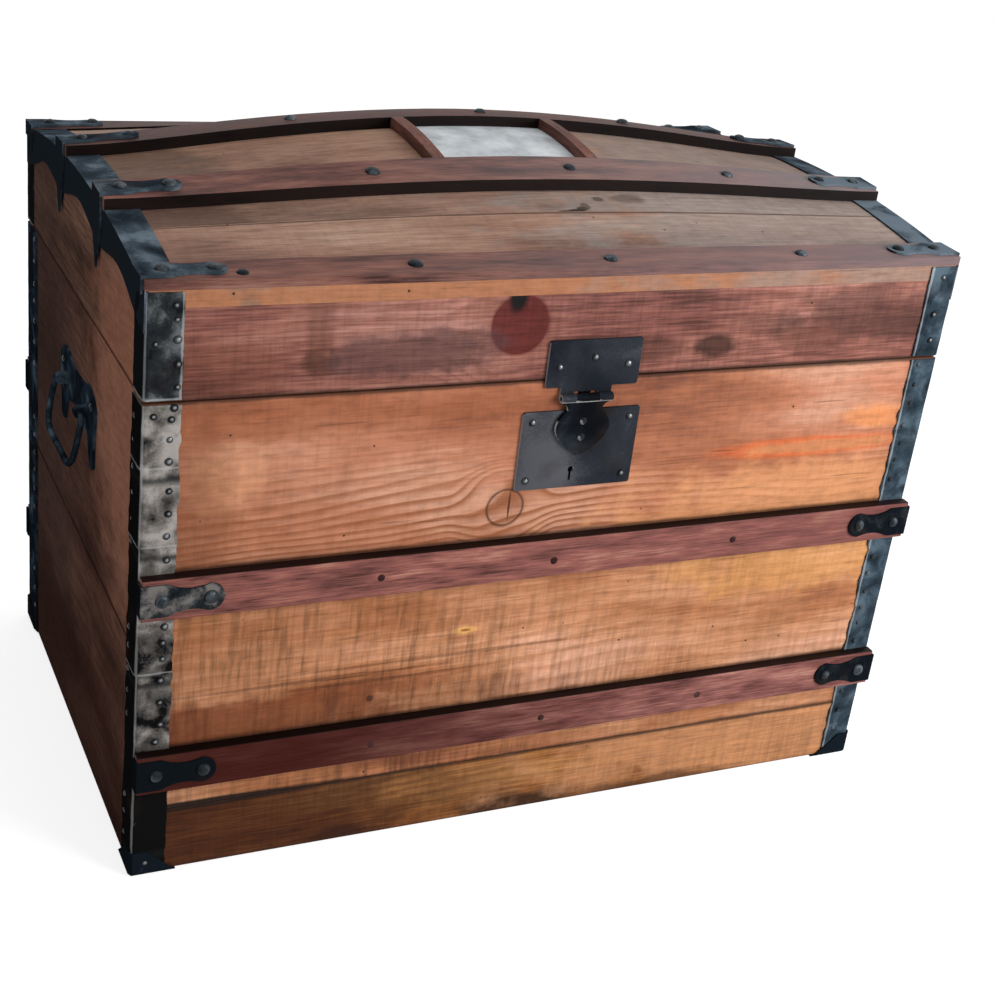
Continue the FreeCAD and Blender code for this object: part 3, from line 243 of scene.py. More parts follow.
    gloss = add(tree, "MapRange", {0: grime, 1: 0.3, 2: 0.7, 3: rough - 0.1, 4: rough + 0.14})
    tree.links.new(gloss.outputs[0], shader.inputs["Roughness"])
    shader.inputs["Specular IOR Level"].default_value = sheen_level
    height = add(tree, "Math", {0: fibre, 1: 1.6 * fibres}, operation="MULTIPLY")
    height = add(tree, "Math", {0: teeth, 1: 1.3 * saw, 2: height}, operation="MULTIPLY_ADD")
    height = add(tree, "Math", {0: rings, 1: 0.5, 2: height}, operation="MULTIPLY_ADD")
    bump = add(tree, "Bump", {"Height": height, "Strength": 0.55, "Distance": 0.0006})
    tree.links.new(bump.outputs[0], shader.inputs["Normal"])
    return material


def wear(finish, *names):
    """Give CAD nodes their finish."""
    for name in names:
        for slot in nodes[name].material_slots:
            slot.material = finish


def set_down(name, data):
    """A new object in the scene, holding a mesh, a lamp or a camera."""
    item = bpy.data.objects.new(name, data)
    bpy.context.scene.collection.objects.link(item)
    return item


def softened(name, finish, width, angle=35.0, front_only=False):
    """A node's own shape with its sharp edges, or its front ones, worn round; stands for it."""
    mesh = nodes[name].data.copy()
    shape = bmesh.new()
    shape.from_mesh(mesh)
    bmesh.ops.remove_doubles(shape, verts=shape.verts, dist=1e-6)
    bmesh.ops.dissolve_limit(shape, angle_limit=math.radians(1.0), verts=shape.verts,
                             edges=shape.edges)
    limit = math.radians(angle)
    sharp = [e for e in shape.edges if len(e.link_faces) == 2 and e.calc_face_angle() > limit]
    if front_only:
        sharp = [e for e in sharp if e.calc_face_angle() > math.radians(60.0)
                 and min(f.normal.y for f in e.link_faces) < -0.9]
    bmesh.ops.bevel(shape, geom=sharp, offset=width, segments=2, profile=0.6,
                    affect="EDGES", clamp_overlap=True)
    bmesh.ops.triangulate(shape, faces=shape.faces)
    shape.to_mesh(mesh)
    shape.free()
    mesh.materials.clear()
    mesh.materials.append(finish)
    mesh.shade_smooth()
    mesh.set_sharp_from_angle(angle=math.radians(angle))
    stand_for(set_down("worn_" + name, mesh), name)


def stand_for(piece, *names):
    """Let a piece ride with the body of the nodes it replaces, and hide those nodes."""
    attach(piece, body_of[names[0]])
    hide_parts(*names)


FRONT = -0.248              # outer face of the front boards
RIM = 0.4735                # top of the carcass
LID_RIM = 0.475             # foot of the lid
SLAT_JOINT = 0.070          # joint between the lower and the middle board
END_JOINT = 0.236           # joint between the two boards of an end
WORN = 0.0007               # how far the boards' edges are worn round


def on_front(*marks):
    """Marks on a front board: x, z, half length, half height, tone, share and raggedness."""
    return [((x, FRONT, z), (long, 1, high), *rest) for x, z, long, high, *rest in marks]


upper_front = aged_pine(
    "stained_pine_front_upper", ("#774838", "#a16549", "#b6795d", "#c59177"), "#8a4f2c",
    seed=1.0, ring_pitch=0.009, swirl=11.0, ring_depth=0.9, saw=0.16, fibres=0.15,
    inward=(0, 1, 0), ring_zone=(0.36, 0.41),
    stains_and_painted_light=on_front(
        (0.268, 0.386, 0.088, 0.0085, "#cf6233", 0.8, 0.35),
        (0.285, 0.386, 0.075, 0.0055, "#b98058", 0.75, 0.5),
        (0.345, 0.415, 0.035, 0.010, "#d98a52", 0.6),
        (-0.325, 0.40, 0.03, 0.024, "#cf9470", 0.6),
        (-0.36, 0.35, 0.03, 0.12, "#6d4029", 0.45),
        (-0.20, 0.455, 0.2, 0.016, "#8c4f33", 0.5),
        (0.30, 0.33, 0.2, 0.035, "#e09f6c", 0.5),
        (-0.058, 0.350, 0.0009, 0.012, "#3a2017", 0.9, 0.4)),
    knots=(((-0.062, FRONT, 0.349), 0.0145, "#4a2819", 0.16),),
    edges=((RIM, 0.004), (0.317, 0.005)))
middle_front = aged_pine(
    "stained_pine_front_middle", ("#7a4934", "#a46b49", "#c08966", "#cf9a7d"), "#8b5326",
    seed=2.0, ring_pitch=0.012, ring_depth=0.4, saw=0.75, saw_pitch=0.0052, fibres=0.18,
    inward=(0, 1, 0), saw_zone=(-0.05, 0.25),
    stains_and_painted_light=on_front(
        (-0.31, 0.154, 0.14, 0.022, "#5e2619", 0.9, 0.8),
        (-0.15, 0.15, 0.14, 0.014, "#7a4a30", 0.5),
        (-0.30, 0.21, 0.13, 0.08, "#86512f", 0.4),
        (-0.25, 0.188, 0.12, 0.0016, "#4a2a1a", 0.5, 1.2),
        (-0.10, 0.197, 0.12, 0.0014, "#4a2a1a", 0.45, 1.2),
        (-0.18, 0.180, 0.08, 0.0014, "#4a2a1a", 0.45, 1.2),
        (-0.087, 0.222, 0.010, 0.0035, "#dca45e", 0.8, 0.2),
        (-0.087, 0.222, 0.004, 0.0012, "#6f4220", 0.8, 0.2),
        (-0.178, 0.160, 0.003, 0.003, "#3a2117", 0.8, 0.2),
        (0.28, 0.26, 0.12, 0.03, "#c98f4f", 0.5),
        (-0.34, 0.071, 0.11, 0.0035, "#100704", 1.0, 0.2)),
    edges=((SLAT_JOINT, 0.004), (0.277, 0.004), (0.137, 0.006)))
lower_front = aged_pine(
    "stained_pine_front_lower", ("#4e2b18", "#7b4925", "#9a6337", "#ab7647"), "#5f3818",
    seed=3.0, ring_pitch=0.010, ring_depth=0.45, saw=0.35, inward=(0, 1, 0),
    stains_and_painted_light=on_front(
        (-0.201, 0.004, 0.03, 0.012, "#20130c", 0.9),
        (0.0, 0.006, 0.045, 0.012, "#20130c", 0.9),
        # the dark patch at the lower left is painted shade
        (-0.42, 0.035, 0.30, 0.09, "#37180a", 0.8, 0.5),
        (0.30, 0.045, 0.22, 0.05, "#c88f66", 0.6),
        (0.16, 0.004, 0.07, 0.008, "#3a2212", 0.7),
        (-0.34, 0.070, 0.11, 0.0035, "#100704", 1.0, 0.2)),
    edges=((SLAT_JOINT, 0.004), (0.0, 0.006)))
back_pine = aged_pine(
    "stained_pine_back", ("#5f3a25", "#8b5835", "#a87448", "#b98a5c"), "#744423",
    seed=4.0, saw=0.4, inward=(0, -1, 0),
    edges=((SLAT_JOINT, 0.004), (0.297, 0.004), (RIM, 0.004)))
left_end_pine = aged_pine(
    "dark_stained_pine_left", ("#3d2923", "#563b32", "#6c4c41", "#805d4f"), "#422a22",
    along=1, seed=5.0, ring_pitch=0.014, ring_depth=0.25, saw=0.12, rough=0.8, sheen_level=0.0,
    fibres=0.3, inward=(1, 0, 0),
    stains_and_painted_light=(((-0.4, 0.28, 0.2), (1, 0.24, 0.8), "#463632", 0.75, 0.3),
            ((-0.4, -0.22, 0.45), (1, 0.12, 0.15), "#a5735e", 0.8, 0.5),
            # the darker band at the foot of the end is painted shade
            ((-0.4, 0.0, 0.0), (1, 0.4, 0.12), "#37231e", 0.7, 0.3)),
    edges=((END_JOINT, 0.003),))
right_end_pine = aged_pine(
    "dark_stained_pine_right", ("#2c1811", "#4c2c1f", "#69402c", "#7f5338"), "#341c13",
    along=1, seed=6.0, ring_pitch=0.014, saw=0.3, rough=0.8, sheen_level=0.0, inward=(-1, 0, 0),
    stains_and_painted_light=(((0.4, 0.0, 0.03), (1, 0.3, 0.07), "#20120d", 0.6),), edges=((END_JOINT, 0.003),))
for level, finish in (("upper", upper_front), ("middle", middle_front), ("lower", lower_front)):
    softened("front_board_" + level, finish, WORN)
for level in ("upper", "middle", "lower"):
    softened("back_board_" + level, back_pine, WORN)
for side, finish in (("left", left_end_pine), ("right", right_end_pine)):
    softened(f"{side}_end_board_upper", finish, WORN)
    softened(f"{side}_end_board_lower", finish, WORN)

# ---- Bottom ----------------------------------------------------------------------------
# Rough pine planks laid across two ledgers; never stained, greyed by what was kept on them.
raw_tones = ("#8a6b4a", "#a98a63", "#bfa27a", "#cbb28c")
raw_pine = aged_pine("raw_pine_planks", raw_tones, "#8f6f48", along=1, across=0, seed=7.0,
                     saw=0.4, rough=0.72)
raw_ledger = aged_pine("raw_pine_ledgers", raw_tones, "#8f6f48", seed=8.0, saw=0.3, rough=0.72)
wear(raw_pine, "bottom_planks")
wear(raw_ledger, "bottom_ledgers", "lid_bows")

# ---- Lid boards ------------------------------------------------------------------------
# The lid's sides took a redder stain than the carcass and are darker with handling.
lid_front = aged_pine(
    "red_stained_pine_lid_front", ("#56342e", "#7c4d45", "#976457", "#a8786d"), "#68382a",
    seed=9.0, ring_pitch=0.010, ring_depth=0.4, saw=0.3, inward=(0, 1, 0),
    stains_and_painted_light=on_front(
        (-0.255, 0.503, 0.013, 0.010, "#35201a", 0.7),
        (-0.255, 0.53, 0.012, 0.03, "#5c382c", 0.5),
        (0.135, 0.499, 0.018, 0.008, "#2f1c16", 0.85),
        (-0.074, 0.553, 0.0075, 0.011, "#020101", 1.0, 0.25),
        (-0.160, 0.505, 0.06, 0.017, "#513838", 0.7, 1.3),
        (0.07, 0.498, 0.03, 0.01, "#482a20", 0.6),
        (0.25, 0.51, 0.05, 0.016, "#553026", 0.6),
        (0.31, 0.530, 0.09, 0.022, "#4b302b", 0.6, 1.3),
        (0.20, 0.520, 0.03, 0.012, "#4a2e28", 0.5, 1.2),
        (-0.33, 0.50, 0.04, 0.02, "#6a3d2d", 0.5)),
    knots=(((-0.070, FRONT, 0.528), 0.021, "#561d1b", 0.93),), edges=((LID_RIM, 0.004),))
lid_back = aged_pine(
    "red_stained_pine_lid_back", ("#4d2c21", "#744433", "#8e5842", "#a16c52"), "#5c3226",
    seed=10.0, saw=0.4, inward=(0, -1, 0), edges=((LID_RIM, 0.004),))
softened("lid_front_board", lid_front, WORN)
softened("lid_back_board", lid_back, WORN)
lid_end_left = aged_pine(
    "dark_stained_pine_lid_left", ("#49362e", "#694f43", "#826152", "#957262"), "#463127",
    along=1, seed=11.0, ring_depth=0.25, saw=0.12, rough=0.8, sheen_level=0.0, fibres=0.3,
    stains_and_painted_light=(((-0.4, 0.30, 0.5), (1, 0.2, 0.8), "#4a3834", 0.7, 0.3),
            ((-0.4, -0.22, 0.50), (1, 0.12, 0.06), "#a06d59", 0.85, 0.5)),
    inward=(1, 0, 0), edges=((LID_RIM, 0.004),))
lid_end_right = aged_pine(
    "dark_stained_pine_lid_right", ("#34201a", "#573529", "#74483a", "#8a5f4b"), "#3d241b",
    along=1, seed=12.0, saw=0.3, rough=0.8, sheen_level=0.0, inward=(-1, 0, 0),
    edges=((LID_RIM, 0.004),))
wear(lid_end_left, "lid_left_end_panel")
wear(lid_end_right, "lid_right_end_panel")

# ---- Dome staves -----------------------------------------------------------------------
# Thin pine bent over the bows, greyed by light and dust where nothing covered it; the grey
# patches towards the right of the front staves are a painted sheen.
# A raw orange strip shows along the front edge, where the stain has been knocked off.
STAVE_JOINT = -0.1424       # front edge of the second stave


def on_top(*marks):
    """Marks on the dome: x, y, half length, half width, tone, share and raggedness."""
    return [((x, y, 0.6), (long, wide, 1), *rest) for x, y, long, wide, *rest in marks]


raw_strip = ((0.0, FRONT, 0.562), (0.5, 0.02, 0.010), "#a86f4e", 0.9, 1.4)
dusty_tones = ("#5f483e", "#7b6053", "#8a7061", "#998070")
# the grey patches towards the right end of the first three staves are a painted sheen
staves = (
    (("#6d5044", "#8a6858", "#9a7a68", "#a88a78"),
     [raw_strip, *on_top((0.30, -0.19, 0.22, 0.06, "#837e7b", 0.55),
                         (0.0, STAVE_JOINT, 0.5, 0.0011, "#3d2b23", 0.8, 0.3))]),
    (("#6a5146", "#87695a", "#94796a", "#a28a7b"),
     [((0.02, -0.093, 0.62), (0.05, 0.008, 1), "#3b2a22", 0.8),
      *on_top((-0.33, -0.12, 0.05, 0.06, "#4c382f", 0.7),
              (0.25, -0.11, 0.22, 0.05, "#7f7a77", 0.6),
              (0.021, -0.1400, 0.008, 0.0013, "#170c08", 0.95, 0.3),
              (0.031, -0.1385, 0.007, 0.0018, "#170c08", 0.95, 0.3),
              (0.038, -0.1355, 0.0045, 0.0024, "#1f120d", 0.9, 0.4),
              (0.043, -0.1315, 0.003, 0.0035, "#3f2b22", 0.7, 1.2),
              (0.063, -0.1190, 0.006, 0.0035, "#3a2a23", 0.75, 1.3),
              (0.087, -0.1165, 0.016, 0.0070, "#54433b", 0.7, 1.4))]),
    (("#6f5142", "#8c6a58", "#9b7a66", "#a88873"),
     on_top((-0.35, 0.0, 0.06, 0.09, "#4a382f", 0.7), (0.30, 0.0, 0.2, 0.09, "#77706c", 0.6))),
    (dusty_tones, ()), (dusty_tones, ()))
for number, (tones, marks) in enumerate(staves, 1):
    stave = aged_pine(f"weathered_pine_stave_{number}", tones, "#6a4f42", across=1,
                      seed=12.0 + number, ring_pitch=0.011, ring_depth=0.35, saw=0.15, rough=0.6,
                      fibres=0.27, stains_and_painted_light=marks, inward=(0, 0, -1))
    wear(stave, f"lid_stave_{number}")

# ---- Slats and ribs --------------------------------------------------------------------
# Hardwood slats with a mahogany stain, rubbed pink on the flats, and one side of each painted
# near black for dirt and painted shade.


def stained_slat(name, tones, dirt_and_shade_side, seed, along=0, tone_shade_and_sheen=None):
    """Mahogany-stained slat. The side painted near black, for dirt and painted shade, is given
    as a direction.

    A run of another tone may be given: where along the slat it is full, where it ends, the tone
    and its share. On the lower slat it is painted shade, on the lid's slats a painted sheen.
    """
    material, tree, shader = blank(name)
    place = add(tree, "TexCoord").outputs["Object"]
    stretched = along_grain(tree, place, along, [seed, 2 * seed, 3 * seed])
    pores = add(tree, "TexNoise", {"Vector": stretched(0.03, 0.0011), "Scale": 1.0, "Detail": 3.0})
    broad = add(tree, "TexNoise", {"Vector": stretched(0.09, 0.02), "Scale": 1.0, "Detail": 5.0,
                                   "Roughness": 0.6})
    mix = add(tree, "Math", {0: pores, 1: 0.3, 2: broad}, operation="MULTIPLY_ADD")
    colour = add(tree, "ValToRGB", {"Fac": mix}, stops=spread(tones, 0.48, 0.36))
    grain = add(tree, "ValToRGB", {"Fac": pores}, stops=((0.32, 0.6), (0.5, 1.0), (0.68, 1.12)))
    colour = add(tree, "Mix", {"Factor": 0.6, "A": colour, "B": grain}, data_type="RGBA",
                 blend_type="MULTIPLY")
    facing = add(tree, "VectorMath", {0: add(tree, "TexCoord").outputs["Normal"], 1: dirt_and_shade_side},
                 operation="DOT_PRODUCT").outputs["Value"]
    # faces turned to the given side are painted near black: dirt, and painted shade
    dirt_and_shade = add(tree, "MapRange", {0: facing, 1: 0.35, 2: 0.8, 3: 0.0, 4: 0.96})
    if tone_shade_and_sheen:
        full, end, code, share = tone_shade_and_sheen
        run = add(tree, "SeparateXYZ", {0: place}).outputs[along]
        run = add(tree, "MapRange", {0: run, 1: full, 2: end, 3: share, 4: 0.0})
        colour = add(tree, "Mix", {"Factor": run, "A": colour, "B": code}, data_type="RGBA")
    colour = add(tree, "Mix", {"Factor": dirt_and_shade, "A": colour, "B": "#0b0605"}, data_type="RGBA")
    tree.links.new(colour.outputs[2], shader.inputs["Base Color"])
    gloss = add(tree, "MapRange", {0: broad, 1: 0.3, 2: 0.7, 3: 0.42, 4: 0.62})
    tree.links.new(gloss.outputs[0], shader.inputs["Roughness"])
    shader.inputs["Specular IOR Level"].default_value = 0.06
    bump = add(tree, "Bump", {"Height": mix, "Strength": 0.5, "Distance": 0.0006})
    tree.links.new(bump.outputs[0], shader.inputs["Normal"])
    return material


# one side of each slat is painted near black, for dirt and painted shade
upper_slat = stained_slat("mahogany_stain_upper", ("#4f302c", "#794b46", "#945d54", "#ae7d6d"),
                          (0, 0, 1), 1.0, tone_shade_and_sheen=(0.36, -0.15, "#633a38", 0.55))
# the dark run over the left end of the lower slat is painted shade
lower_slat = stained_slat("mahogany_stain_lower", ("#502e2b", "#744743", "#905f57", "#a8796c"),
                          (0, 0, 1), 2.0, tone_shade_and_sheen=(-0.24, 0.14, "#380f08", 0.92))
back_slats = stained_slat("mahogany_stain_back", ("#381f1c", "#563430", "#6b443c", "#7f5749"),
                          (0, 0, 1), 3.0)
# the grey run towards the right end is a painted sheen
front_edge_slat = stained_slat(
    "mahogany_stain_lid_front", ("#402925", "#63413b", "#795147", "#896156"), (0, 0, -1), 4.0,
    tone_shade_and_sheen=(0.36, -0.22, "#7f7274", 0.6))
# the grey run towards the right end is a painted sheen
crown_slat = stained_slat("mahogany_stain_crown", ("#38221d", "#5a3934", "#704a42", "#815b4f"),
                          (0, -0.9, 0), 5.0, tone_shade_and_sheen=(0.36, -0.18, "#878183", 0.55))
back_crown_slats = stained_slat(
    "mahogany_stain_lid_back", ("#291a17", "#432c28", "#553a35", "#64473f"), (0, -0.9, 0), 7.0)
cross_ribs = stained_slat("mahogany_stain_ribs", ("#351f1b", "#553631", "#69453c", "#7a554a"),
                          (1, 0, 0), 6.0, along=1)
SLAT_WORN = 0.0012          # how far the slats' edges are worn round
for name, finish in (("front_slat_upper", upper_slat), ("front_slat_lower", lower_slat),
                     ("back_slat_upper", back_slats), ("back_slat_lower", back_slats)):
    softened(name, finish, SLAT_WORN)
wear(front_edge_slat, "lid_slat_front")
wear(crown_slat, "lid_slat_crown_front")
wear(back_crown_slats, "lid_slat_crown_back", "lid_slat_back")
wear(cross_ribs, "lid_cross_ribs")

# ---- Label place -----------------------------------------------------------------------
# A bare sheet of tinned iron between the ribs, dulled to a pale, cloudy grey.
label, tree, shader = blank("dull_tinned_sheet")
place = add(tree, "TexCoord").outputs["Object"]
cloud = add(tree, "TexNoise", {"Vector": place, "Scale": 38.0, "Detail": 6.0, "Roughness": 0.6})
tint = add(tree, "ValToRGB", {"Fac": cloud},
           stops=((0.3, "#8f9498"), (0.5, "#b0b5b9"), (0.7, "#c6cacd")))
tree.links.new(tint.outputs[0], shader.inputs["Base Color"])
shader.inputs["Roughness"].default_value = 0.6
bump = add(tree, "Bump", {"Height": cloud, "Strength": 0.4, "Distance": 0.0006})
tree.links.new(bump.outputs[0], shader.inputs["Normal"])
wear(label, "label_sheet")

# ---- Sheet iron ------------------------------------------------------------------------
# Thin black-lacquered sheet, folded round the corners cold and hammered flat. It is dented,
# rubbed through the lacquer to blue-grey metal in patches, and browned here and there by rust.


def sheet_iron(name, tones, wear_level=0.5, rough=0.42, dents=0.5, metallic=0.35,
               sheen_level=0.0, cell=0.016, marks=(), laps=(), rims=(), shaded=0.25, highlight_and_rub_side=None,
               highlight_and_rub_reach=0.94, edge_tone="#9d9e9f"):
    """Old lacquered iron. Three tones run from the lacquer in the hollows to rubbed metal.

    Marks are a centre, radii and how much more, or less, the iron is rubbed there; those that
    darken it near the floor or at the lower left are painted shade, and the one at the lid's right
    front is also a painted highlight. A lap is a height with a dark hollow under it, a rim an axis
    and a place where the cut edge is pale. Faces on the left end are painted darker by the share
    shaded, as painted shade. Edges facing the given side, within its cosine reach, are painted
    pale: a painted highlight, and on the corner irons' folds also lacquer rubbed off.
    """
    material, tree, shader = blank(name)
    place = add(tree, "TexCoord").outputs["Object"]
    patches = add(tree, "TexNoise", {"Vector": place, "Scale": 0.7 / cell, "Detail": 4.0,
                                     "Roughness": 0.5, "Distortion": 0.4})
    hammer = add(tree, "TexVoronoi", {"Vector": place, "Scale": 60.0, "Smoothness": 0.8},
                 feature="SMOOTH_F1")
    fine = add(tree, "TexNoise", {"Vector": place, "Scale": 520.0, "Detail": 3.0})
    normal = add(tree, "TexCoord").outputs["Normal"]
    level = add(tree, "Math", {0: fine, 1: 0.16, 2: patches}, operation="MULTIPLY_ADD")
    for centre, radii, change in marks:
        depth = blotch(tree, place, centre, radii, 0.0)
        level = add(tree, "Math", {0: depth, 1: change, 2: level}, operation="MULTIPLY_ADD")
    # faces on the left end are painted darker by the share shaded: painted shade
    to_end = add(tree, "SeparateXYZ", {0: normal}).outputs["X"]
    left = add(tree, "MapRange", {0: to_end, 1: -0.75, 2: -0.95, 3: 0.0, 4: -shaded})
    level = add(tree, "Math", {0: level, 1: left}, operation="ADD")
    colour = add(tree, "ValToRGB", {"Fac": level},
                 stops=((wear_level - 0.08, tones[0]), (wear_level + 0.08, tones[1]),
                        (wear_level + 0.24, tones[2])))
    rust = add(tree, "TexNoise", {"Vector": place, "Scale": 21.0, "Detail": 5.0})
    rust = add(tree, "MapRange", {0: rust, 1: 0.58, 2: 0.72, 3: 0.0, 4: 0.4})
    colour = add(tree, "Mix", {"Factor": rust, "A": colour, "B": "#2e211b"}, data_type="RGBA")
    parts = add(tree, "SeparateXYZ", {0: place})
    for lap in laps:
        under = add(tree, "Math", {0: patches, 1: 0.012, 2: parts.outputs["Z"]},
                    operation="MULTIPLY_ADD")
        under = add(tree, "Math", {0: under, 1: lap}, operation="SUBTRACT")
        under = add(tree, "Math", {0: under}, operation="ABSOLUTE")
        near = add(tree, "MapRange", {0: under, 1: 0.006, 2: 0.001, 3: 0.0, 4: 0.8})
        colour = add(tree, "Mix", {"Factor": near, "A": colour, "B": "#1b1c1d"}, data_type="RGBA")
    pale = 0.0
    for axis, edge in rims:
        off = add(tree, "Math", {0: parts.outputs[axis], 1: edge}, operation="SUBTRACT")
        off = add(tree, "Math", {0: off}, operation="ABSOLUTE")
        off = add(tree, "Math", {0: patches, 1: -0.003, 2: off}, operation="MULTIPLY_ADD")
        line = add(tree, "MapRange", {0: off, 1: 0.0, 2: -0.0012, 3: 0.0, 4: 0.6})
        pale = add(tree, "Math", {0: line, 1: pale}, operation="MAXIMUM")
    # edges facing the given side are painted pale: a painted highlight, and on the corner irons'
    # folds lacquer rubbed off too
    if highlight_and_rub_side:
        bent = add(tree, "VectorMath", {0: normal, 1: highlight_and_rub_side}, operation="DOT_PRODUCT")
        bent = add(tree, "MapRange", {0: bent.outputs["Value"], 1: highlight_and_rub_reach,
                                      2: highlight_and_rub_reach + 0.05, 3: 0.0, 4: 0.6})
        pale = add(tree, "Math", {0: bent, 1: pale}, operation="MAXIMUM")
    if rims or highlight_and_rub_side:
        colour = add(tree, "Mix", {"Factor": pale, "A": colour, "B": edge_tone}, data_type="RGBA")
    tree.links.new(colour.outputs[2], shader.inputs["Base Color"])
    bare = add(tree, "MapRange", {0: level, 1: wear_level - 0.02, 2: wear_level + 0.2, 3: 0.0,
                                  4: metallic})
    tree.links.new(bare.outputs[0], shader.inputs["Metallic"])
    shader.inputs["Specular Tint"].default_value = tone("#666c72")
    gloss = add(tree, "MapRange", {0: patches, 1: 0.3, 2: 0.7, 3: rough + 0.12, 4: rough - 0.08})
    tree.links.new(gloss.outputs[0], shader.inputs["Roughness"])
    height = add(tree, "Math", {0: hammer, 1: dents, 2: patches}, operation="MULTIPLY_ADD")
    bump = add(tree, "Bump", {"Height": height, "Strength": 0.7, "Distance": 0.0018})
    tree.links.new(bump.outputs[0], shader.inputs["Normal"])
    shader.inputs["Specular IOR Level"].default_value = sheen_level
    return material


# the iron is painted darker near the floor: painted shade
black_iron = sheet_iron("black_lacquered_iron", ("#151c23", "#283440", "#4e5d69"), rough=0.5,
                        metallic=0.1, shaded=0.1, marks=(((0, 0, 0), (9, 9, 0.035), -0.3),))
# the brighter patch at the lid's right front is rubbed iron and a painted highlight
band_iron = sheet_iron("blue_black_band_iron", ("#20272e", "#3b454e", "#636f79"), rough=0.5,
                       metallic=0.15, cell=0.024, shaded=0.38,
                       marks=(((0.372, -0.16, 0.60), (0.05, 0.10, 0.05), 0.16),))
clamp_iron = sheet_iron("lacquered_clamp_iron", ("#11161b", "#262a2d", "#6b6765"), wear_level=0.66,
                        metallic=0.5, rough=0.42, cell=0.013,
                        marks=(((-0.366, -0.262, 0.297), (0.046, 0.02, 0.022), 0.22),
                               # the lower left clamp is painted darker: painted shade
                               ((-0.366, -0.262, 0.118), (0.042, 0.02, 0.02), -0.2)))
blue_iron = sheet_iron("blue_grey_iron", ("#1e272e", "#33404a", "#505f6a"), rims=((0, 0.371),))
bare_iron = sheet_iron("hammered_bare_iron", ("#131314", "#615d5a", "#98938e"), wear_level=0.44,
                       rough=0.38, metallic=0.5, laps=(0.412, 0.339, 0.214, 0.028),
                       rims=((2, 0.4165), (2, 0.3435), (2, 0.2185)), shaded=0.6,
                       highlight_and_rub_side=(-0.7, -0.7, 0),
                       # the iron is painted darker towards the bottom: painted shade
                       marks=(((-0.385, -0.249, 0.0), (0.1, 0.1, 0.10), -0.4),
                              ((-0.385, -0.249, 0.2), (0.1, 0.1, 0.06), -0.12)))
lid_iron = sheet_iron("hammered_lid_iron", ("#16191c", "#2b2e31", "#5c6062"), wear_level=0.48,
                      metallic=0.45, rough=0.38, shaded=0.6, highlight_and_rub_side=(-0.7, -0.7, 0),
                      rims=((2, 0.4775), (0, -0.370)))
wear(clamp_iron, "carcass_slat_clamps")
wear(band_iron, "lid_slat_clamps", "lid_end_band_left", "lid_end_band_right")
wear(black_iron, "corner_caps", "carcass_hinge_leaves", "lid_hinge_leaves", "left_handle_plate",
     "right_handle_plate", "left_bail", "right_bail")

HALF_LENGTH = 0.400
HALF_DEPTH = -FRONT
ARRIS = 0.003               # rounded corner of the boards under the iron
SHEET = 0.0014              # thickness of the iron
IRON_FOOT = 0.0055
IRON_TOP = 0.4725
LID_IRON_FOOT = 0.4765
LEAF = 0.031                # width of a corner iron's leaf
WIDE_LEAF = 0.048           # and of a back iron's leaf on the end
CLEAR = 0.00005             # the sheet's inner side lies this far off the boards
LAP = 0.0009                # how far a lap stands up, and over what height it goes flat again
LAP_RUN = 0.09


def fold_iron(shape, corner, low, high, front, end, seed, laps=(), ragged=0.0022, bent=0.0005):
    """Fold one hammered angle round a corner: front and end are the widths of its two leaves."""
    side_x, side_y = corner
    rows = int((high - low) / 0.004)
    leaf, bend = 8, 5
    grid = []
    for row in range(rows + 1):
        z = low + (high - low) * row / rows
        lap = max((LAP * max(0.0, 1 - (z - edge) / LAP_RUN) for edge in laps if z >= edge),
                  default=0.0)
        reaches = []
        for width, shift in ((end, 0.0), (front, 9.0)):
            wave = noise.noise(Vector((z * 34, seed + shift, 0))) + 0.6 * noise.noise(
                Vector((z * 110, seed + shift, 4)))
            reaches.append(width + ragged * wave)
        flat = []
        for step in range(leaf):
            share = 1 - step / leaf
            flat.append(("end", ARRIS + (reaches[0] - ARRIS) * share))
        for step in range(bend + 1):
            flat.append(("bend", math.pi / 2 * step / bend))
        for step in range(1, leaf + 1):
            flat.append(("front", ARRIS + (reaches[1] - ARRIS) * step / leaf))
        for inner in (CLEAR, None):
            line = []
            for where, run in flat:
                at = Vector((run * 60, z * 60, seed + (5.0 if where == "front" else 0.0)))
                dent = bent * (noise.noise(at) + 0.5 * noise.noise(at * 2.7))
                if where == "bend":
                    dent *= 0.5
                rise = inner if inner else SHEET + lap + dent
                if where == "end":
                    x, y = HALF_LENGTH + rise, HALF_DEPTH - run
                elif where == "front":
                    x, y = HALF_LENGTH - run, HALF_DEPTH + rise
                else:
                    x = HALF_LENGTH - ARRIS + (ARRIS + rise) * math.cos(run)
                    y = HALF_DEPTH - ARRIS + (ARRIS + rise) * math.sin(run)
                line.append(shape.verts.new((side_x * x, side_y * y, z)))
            grid.append(line)
    inner, outer = grid[0::2], grid[1::2]
    last = len(inner[0]) - 1
    for row in range(rows):
        for skin in (inner, outer):
            for k in range(last):
                shape.faces.new((skin[row][k], skin[row][k + 1], skin[row + 1][k + 1],
                                 skin[row + 1][k]))
        for k in (0, last):
            shape.faces.new((inner[row][k], inner[row + 1][k], outer[row + 1][k], outer[row][k]))
    for row in (0, rows):
        for k in range(last):
            shape.faces.new((inner[row][k], inner[row][k + 1], outer[row][k + 1], outer[row][k]))


def iron_piece(name, shape, finish, *replaced, right=None):
    """Close a folded sheet and let it stand for its nodes; the right one may differ in finish."""
    bmesh.ops.recalc_face_normals(shape, faces=shape.faces)
    mesh = bpy.data.meshes.new(name)
    shape.to_mesh(mesh)
    shape.free()
    mesh.materials.append(finish)
    if right:
        mesh.materials.append(right)
        for face in mesh.polygons:
            face.material_index = int(face.center.x > 0)
    mesh.shade_smooth()
    mesh.set_sharp_from_angle(angle=math.radians(50))
    stand_for(set_down(name, mesh), *replaced)


